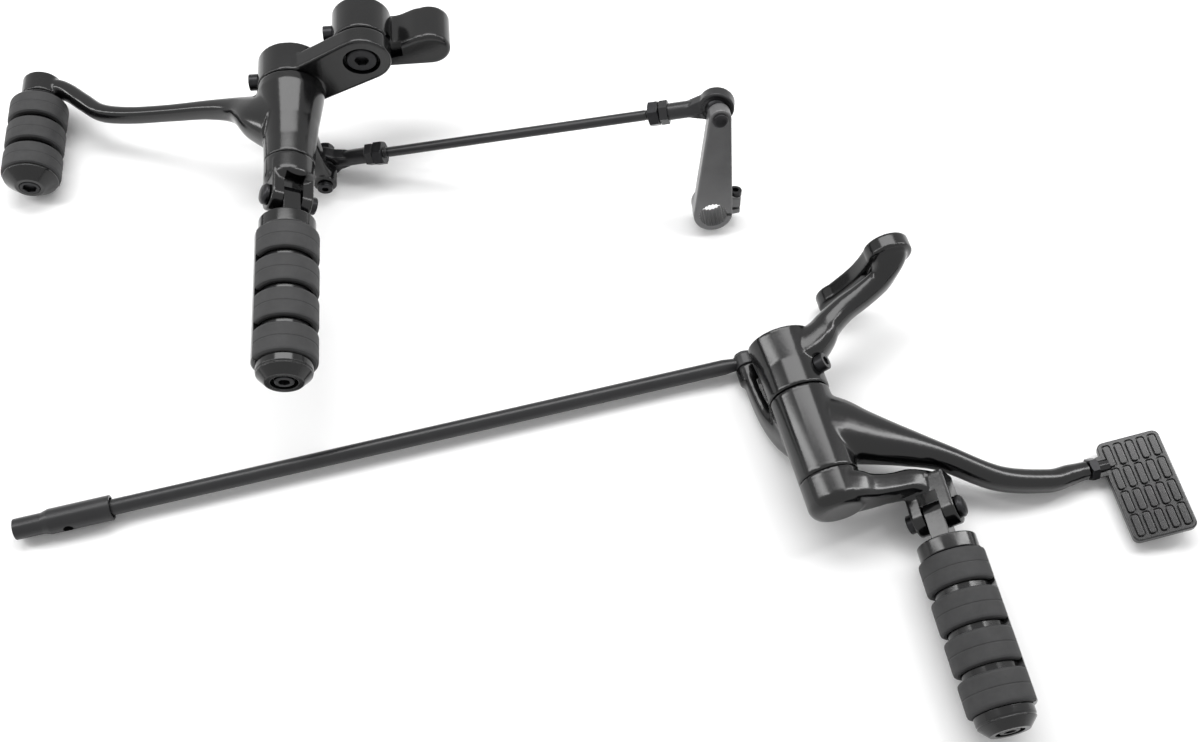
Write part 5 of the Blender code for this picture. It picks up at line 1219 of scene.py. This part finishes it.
rod_end("front_rod_end", FRONT_END)
rod_end("rear_rod_end", REAR_END)
ARM_AXIS = joint_axis("shifter_arm_turn")
STUD = axes_at(rear, SHIFT.to_3x3().col[0].normalized(), ARM_AXIS)
link_ball("front_ball", axes_at(front, SHIFT.to_3x3().col[0].normalized(), joint_axis("front_ball_turn")))
link_ball("rear_ball", STUD)

rod_low = SHANK_END - SHANK_DEPTH
rod_high = link_span - rod_low
thread_turns = round(THREAD_LENGTH / THREAD_PITCH)
near_thread, far_thread = [thread(LINK_ROD - THREAD_DEPTH, low + THREAD_PITCH / 2, THREAD_PITCH, thread_turns)
                           for low in (rod_low, rod_high - THREAD_LENGTH)]
rod_profile = [(0, rod_low), *near_thread, (LINK_ROD, rod_low + THREAD_LENGTH + THREAD_PITCH),
               (LINK_ROD, rod_high - THREAD_LENGTH - THREAD_PITCH), *far_thread, (0, rod_high)]
fitted(placed(turned(rod_profile, CRISP, 48), ALONG_X), "shift_rod", SATIN_COAT, FRONT_END)
near_nut = SHANK_END + GAP
for node, place in (("front_jam_nut", near_nut), ("rear_jam_nut", link_span - near_nut - JAM_NUT_HEIGHT)):
    jam_nut = hex_nut(flats=0.0140, height=JAM_NUT_HEIGHT, bore=LINK_BORE)
    fitted(placed(jam_nut, shifted(place) @ ALONG_X), node, BLACKENED_STEEL, FRONT_END)
ball_centre = LINK_LOW - GAP - BALL_HALF
link_nut_low = ball_centre - BALL_HALF - GAP - LINK_NUT_HEIGHT
bolt_seat = LINK_HIGH + GAP
ball_bolt = socket_screw(radius=0.003, length=bolt_seat - link_nut_low + 0.0005, head=0.005,
                         head_height=0.003, socket=0.004)
ball_nut = hex_nut(flats=0.010, height=LINK_NUT_HEIGHT, bore=LINK_BOLT_BORE)
fitted(placed(ball_bolt, shifted(*LINK_AT, bolt_seat)), "front_ball_bolt", BLACKENED_STEEL, SHIFT)
fitted(placed(ball_nut, shifted(*LINK_AT, link_nut_low)), "front_ball_nut", BLACKENED_STEEL, SHIFT)

# Gearbox arm.
# A tapered arm with a stud at its small end and a splined, slotted bore at its big end, which a pinch bolt
# closes on the gearbox shaft. Its coat is a dark satin grey beside the levers' gloss black.
ARM_SET = math.radians(-1.6)
ARM = STUD @ rotated(ARM_SET, "Z")
ARM_LENGTH = 0.073
ARM_LOW = 0.0063
ARM_FACE = 0.0076
ARM_HIGH = 0.0163
ARM_BIG = 0.0125
DRUM_LOW = ARM_HIGH - 0.017
SPLINES = 24
LUG_MIDDLE = -ARM_LENGTH + 0.002
LUG_HALF = 0.009
LUG_REACH = 0.0185
PINCH_BORE = 0.0028
PINCH_SEAT = 0.0046
SPLINE_ROOT = 0.0085
SPLINE_DEPTH = 0.0005

arm_blade = pressed(link_outline((0, 0), 0.007, (0, -ARM_LENGTH), ARM_BIG), ARM_FACE, ARM_HIGH, 0.0009, 4)
arm_boss = bar(0.005, ARM_LOW, ARM_FACE + 0.001, 0.0002)
arm_drum = placed(bar(ARM_BIG - 0.0003, DRUM_LOW, ARM_LOW + 0.004, 0.0008), shifted(0, -ARM_LENGTH))
arm_lug = pressed([(0.004, LUG_MIDDLE - LUG_HALF), (LUG_REACH, LUG_MIDDLE - LUG_HALF + 0.003),
                   (LUG_REACH, LUG_MIDDLE + LUG_HALF - 0.003), (0.004, LUG_MIDDLE + LUG_HALF)],
                  DRUM_LOW + 0.001, ARM_HIGH - 0.006, 0.0009, 3)
arm_body = cast([arm_blade, arm_drum, arm_lug], fillet=0.002, rounds=40, grid=FINE_GRID)
arm_body = carved(arm_body, [arm_boss], "UNION")
teeth = []
for tooth in range(SPLINES):
    for share, depth in ((-0.25, 0.0), (0.0, 0.0), (0.25, SPLINE_DEPTH), (0.5, SPLINE_DEPTH)):
        angle = math.tau * (tooth + share) / SPLINES
        radius = SPLINE_ROOT + depth
        teeth.append((radius * math.cos(angle), -ARM_LENGTH + radius * math.sin(angle)))
pinch_x = (ARM_BIG + LUG_REACH) / 2 - 0.0003
pinch_z = (DRUM_LOW + 0.001 + ARM_HIGH - 0.006) / 2
pinch_seat = LUG_MIDDLE + LUG_HALF - 0.004
PINCH = shifted(pinch_x, 0, pinch_z) @ rotated(-math.pi / 2, "X")
arm_cuts = [pressed(teeth, DRUM_LOW - OVERCUT, ARM_HIGH + OVERCUT),
            pressed([(0.003, -ARM_LENGTH - 0.001), (LUG_REACH + 0.005, -ARM_LENGTH - 0.001),
                     (LUG_REACH + 0.005, -ARM_LENGTH + 0.001), (0.003, -ARM_LENGTH + 0.001)],
                    DRUM_LOW - OVERCUT, ARM_HIGH + OVERCUT),
            bar(LINK_BOLT_BORE, ARM_LOW - OVERCUT, ARM_HIGH + OVERCUT),
            placed(turned([(0, LUG_MIDDLE - 0.020), (PINCH_BORE, LUG_MIDDLE - 0.020),
                           (PINCH_BORE, pinch_seat), (PINCH_SEAT, pinch_seat),
                           (PINCH_SEAT, pinch_seat + 0.020), (0, pinch_seat + 0.020)], CRISP, 48), PINCH)]
ARM_COAT = satin_coat("satin_coat_grey", (0.095, 0.095, 0.096), (0.140, 0.140, 0.142))
fitted(carved(arm_body, arm_cuts), "shifter_arm", ARM_COAT, ARM)
stud_tail = -BALL_HALF - GAP
stud_seat = ARM_HIGH + GAP
stud = turned([(0, stud_tail - 0.004), (0.0052, stud_tail - 0.004), (0.0052, stud_tail), (0.003, stud_tail),
               (0.003, stud_seat), (0.0048, stud_seat), (0.0048, stud_seat + 0.0013),
               (0.0034, stud_seat + 0.0022), (0, stud_seat + 0.0022)], 0.0005)
fitted(stud, "shifter_stud", BLACKENED_STEEL, ARM)
pinch_bolt = socket_screw(radius=0.0025, length=pinch_seat - (LUG_MIDDLE - LUG_HALF + 0.001), head=0.0042,
                          head_height=0.004, socket=0.004)
fitted(placed(pinch_bolt, PINCH @ shifted(z=pinch_seat + GAP)), "pinch_bolt", BLACKENED_STEEL, ARM)
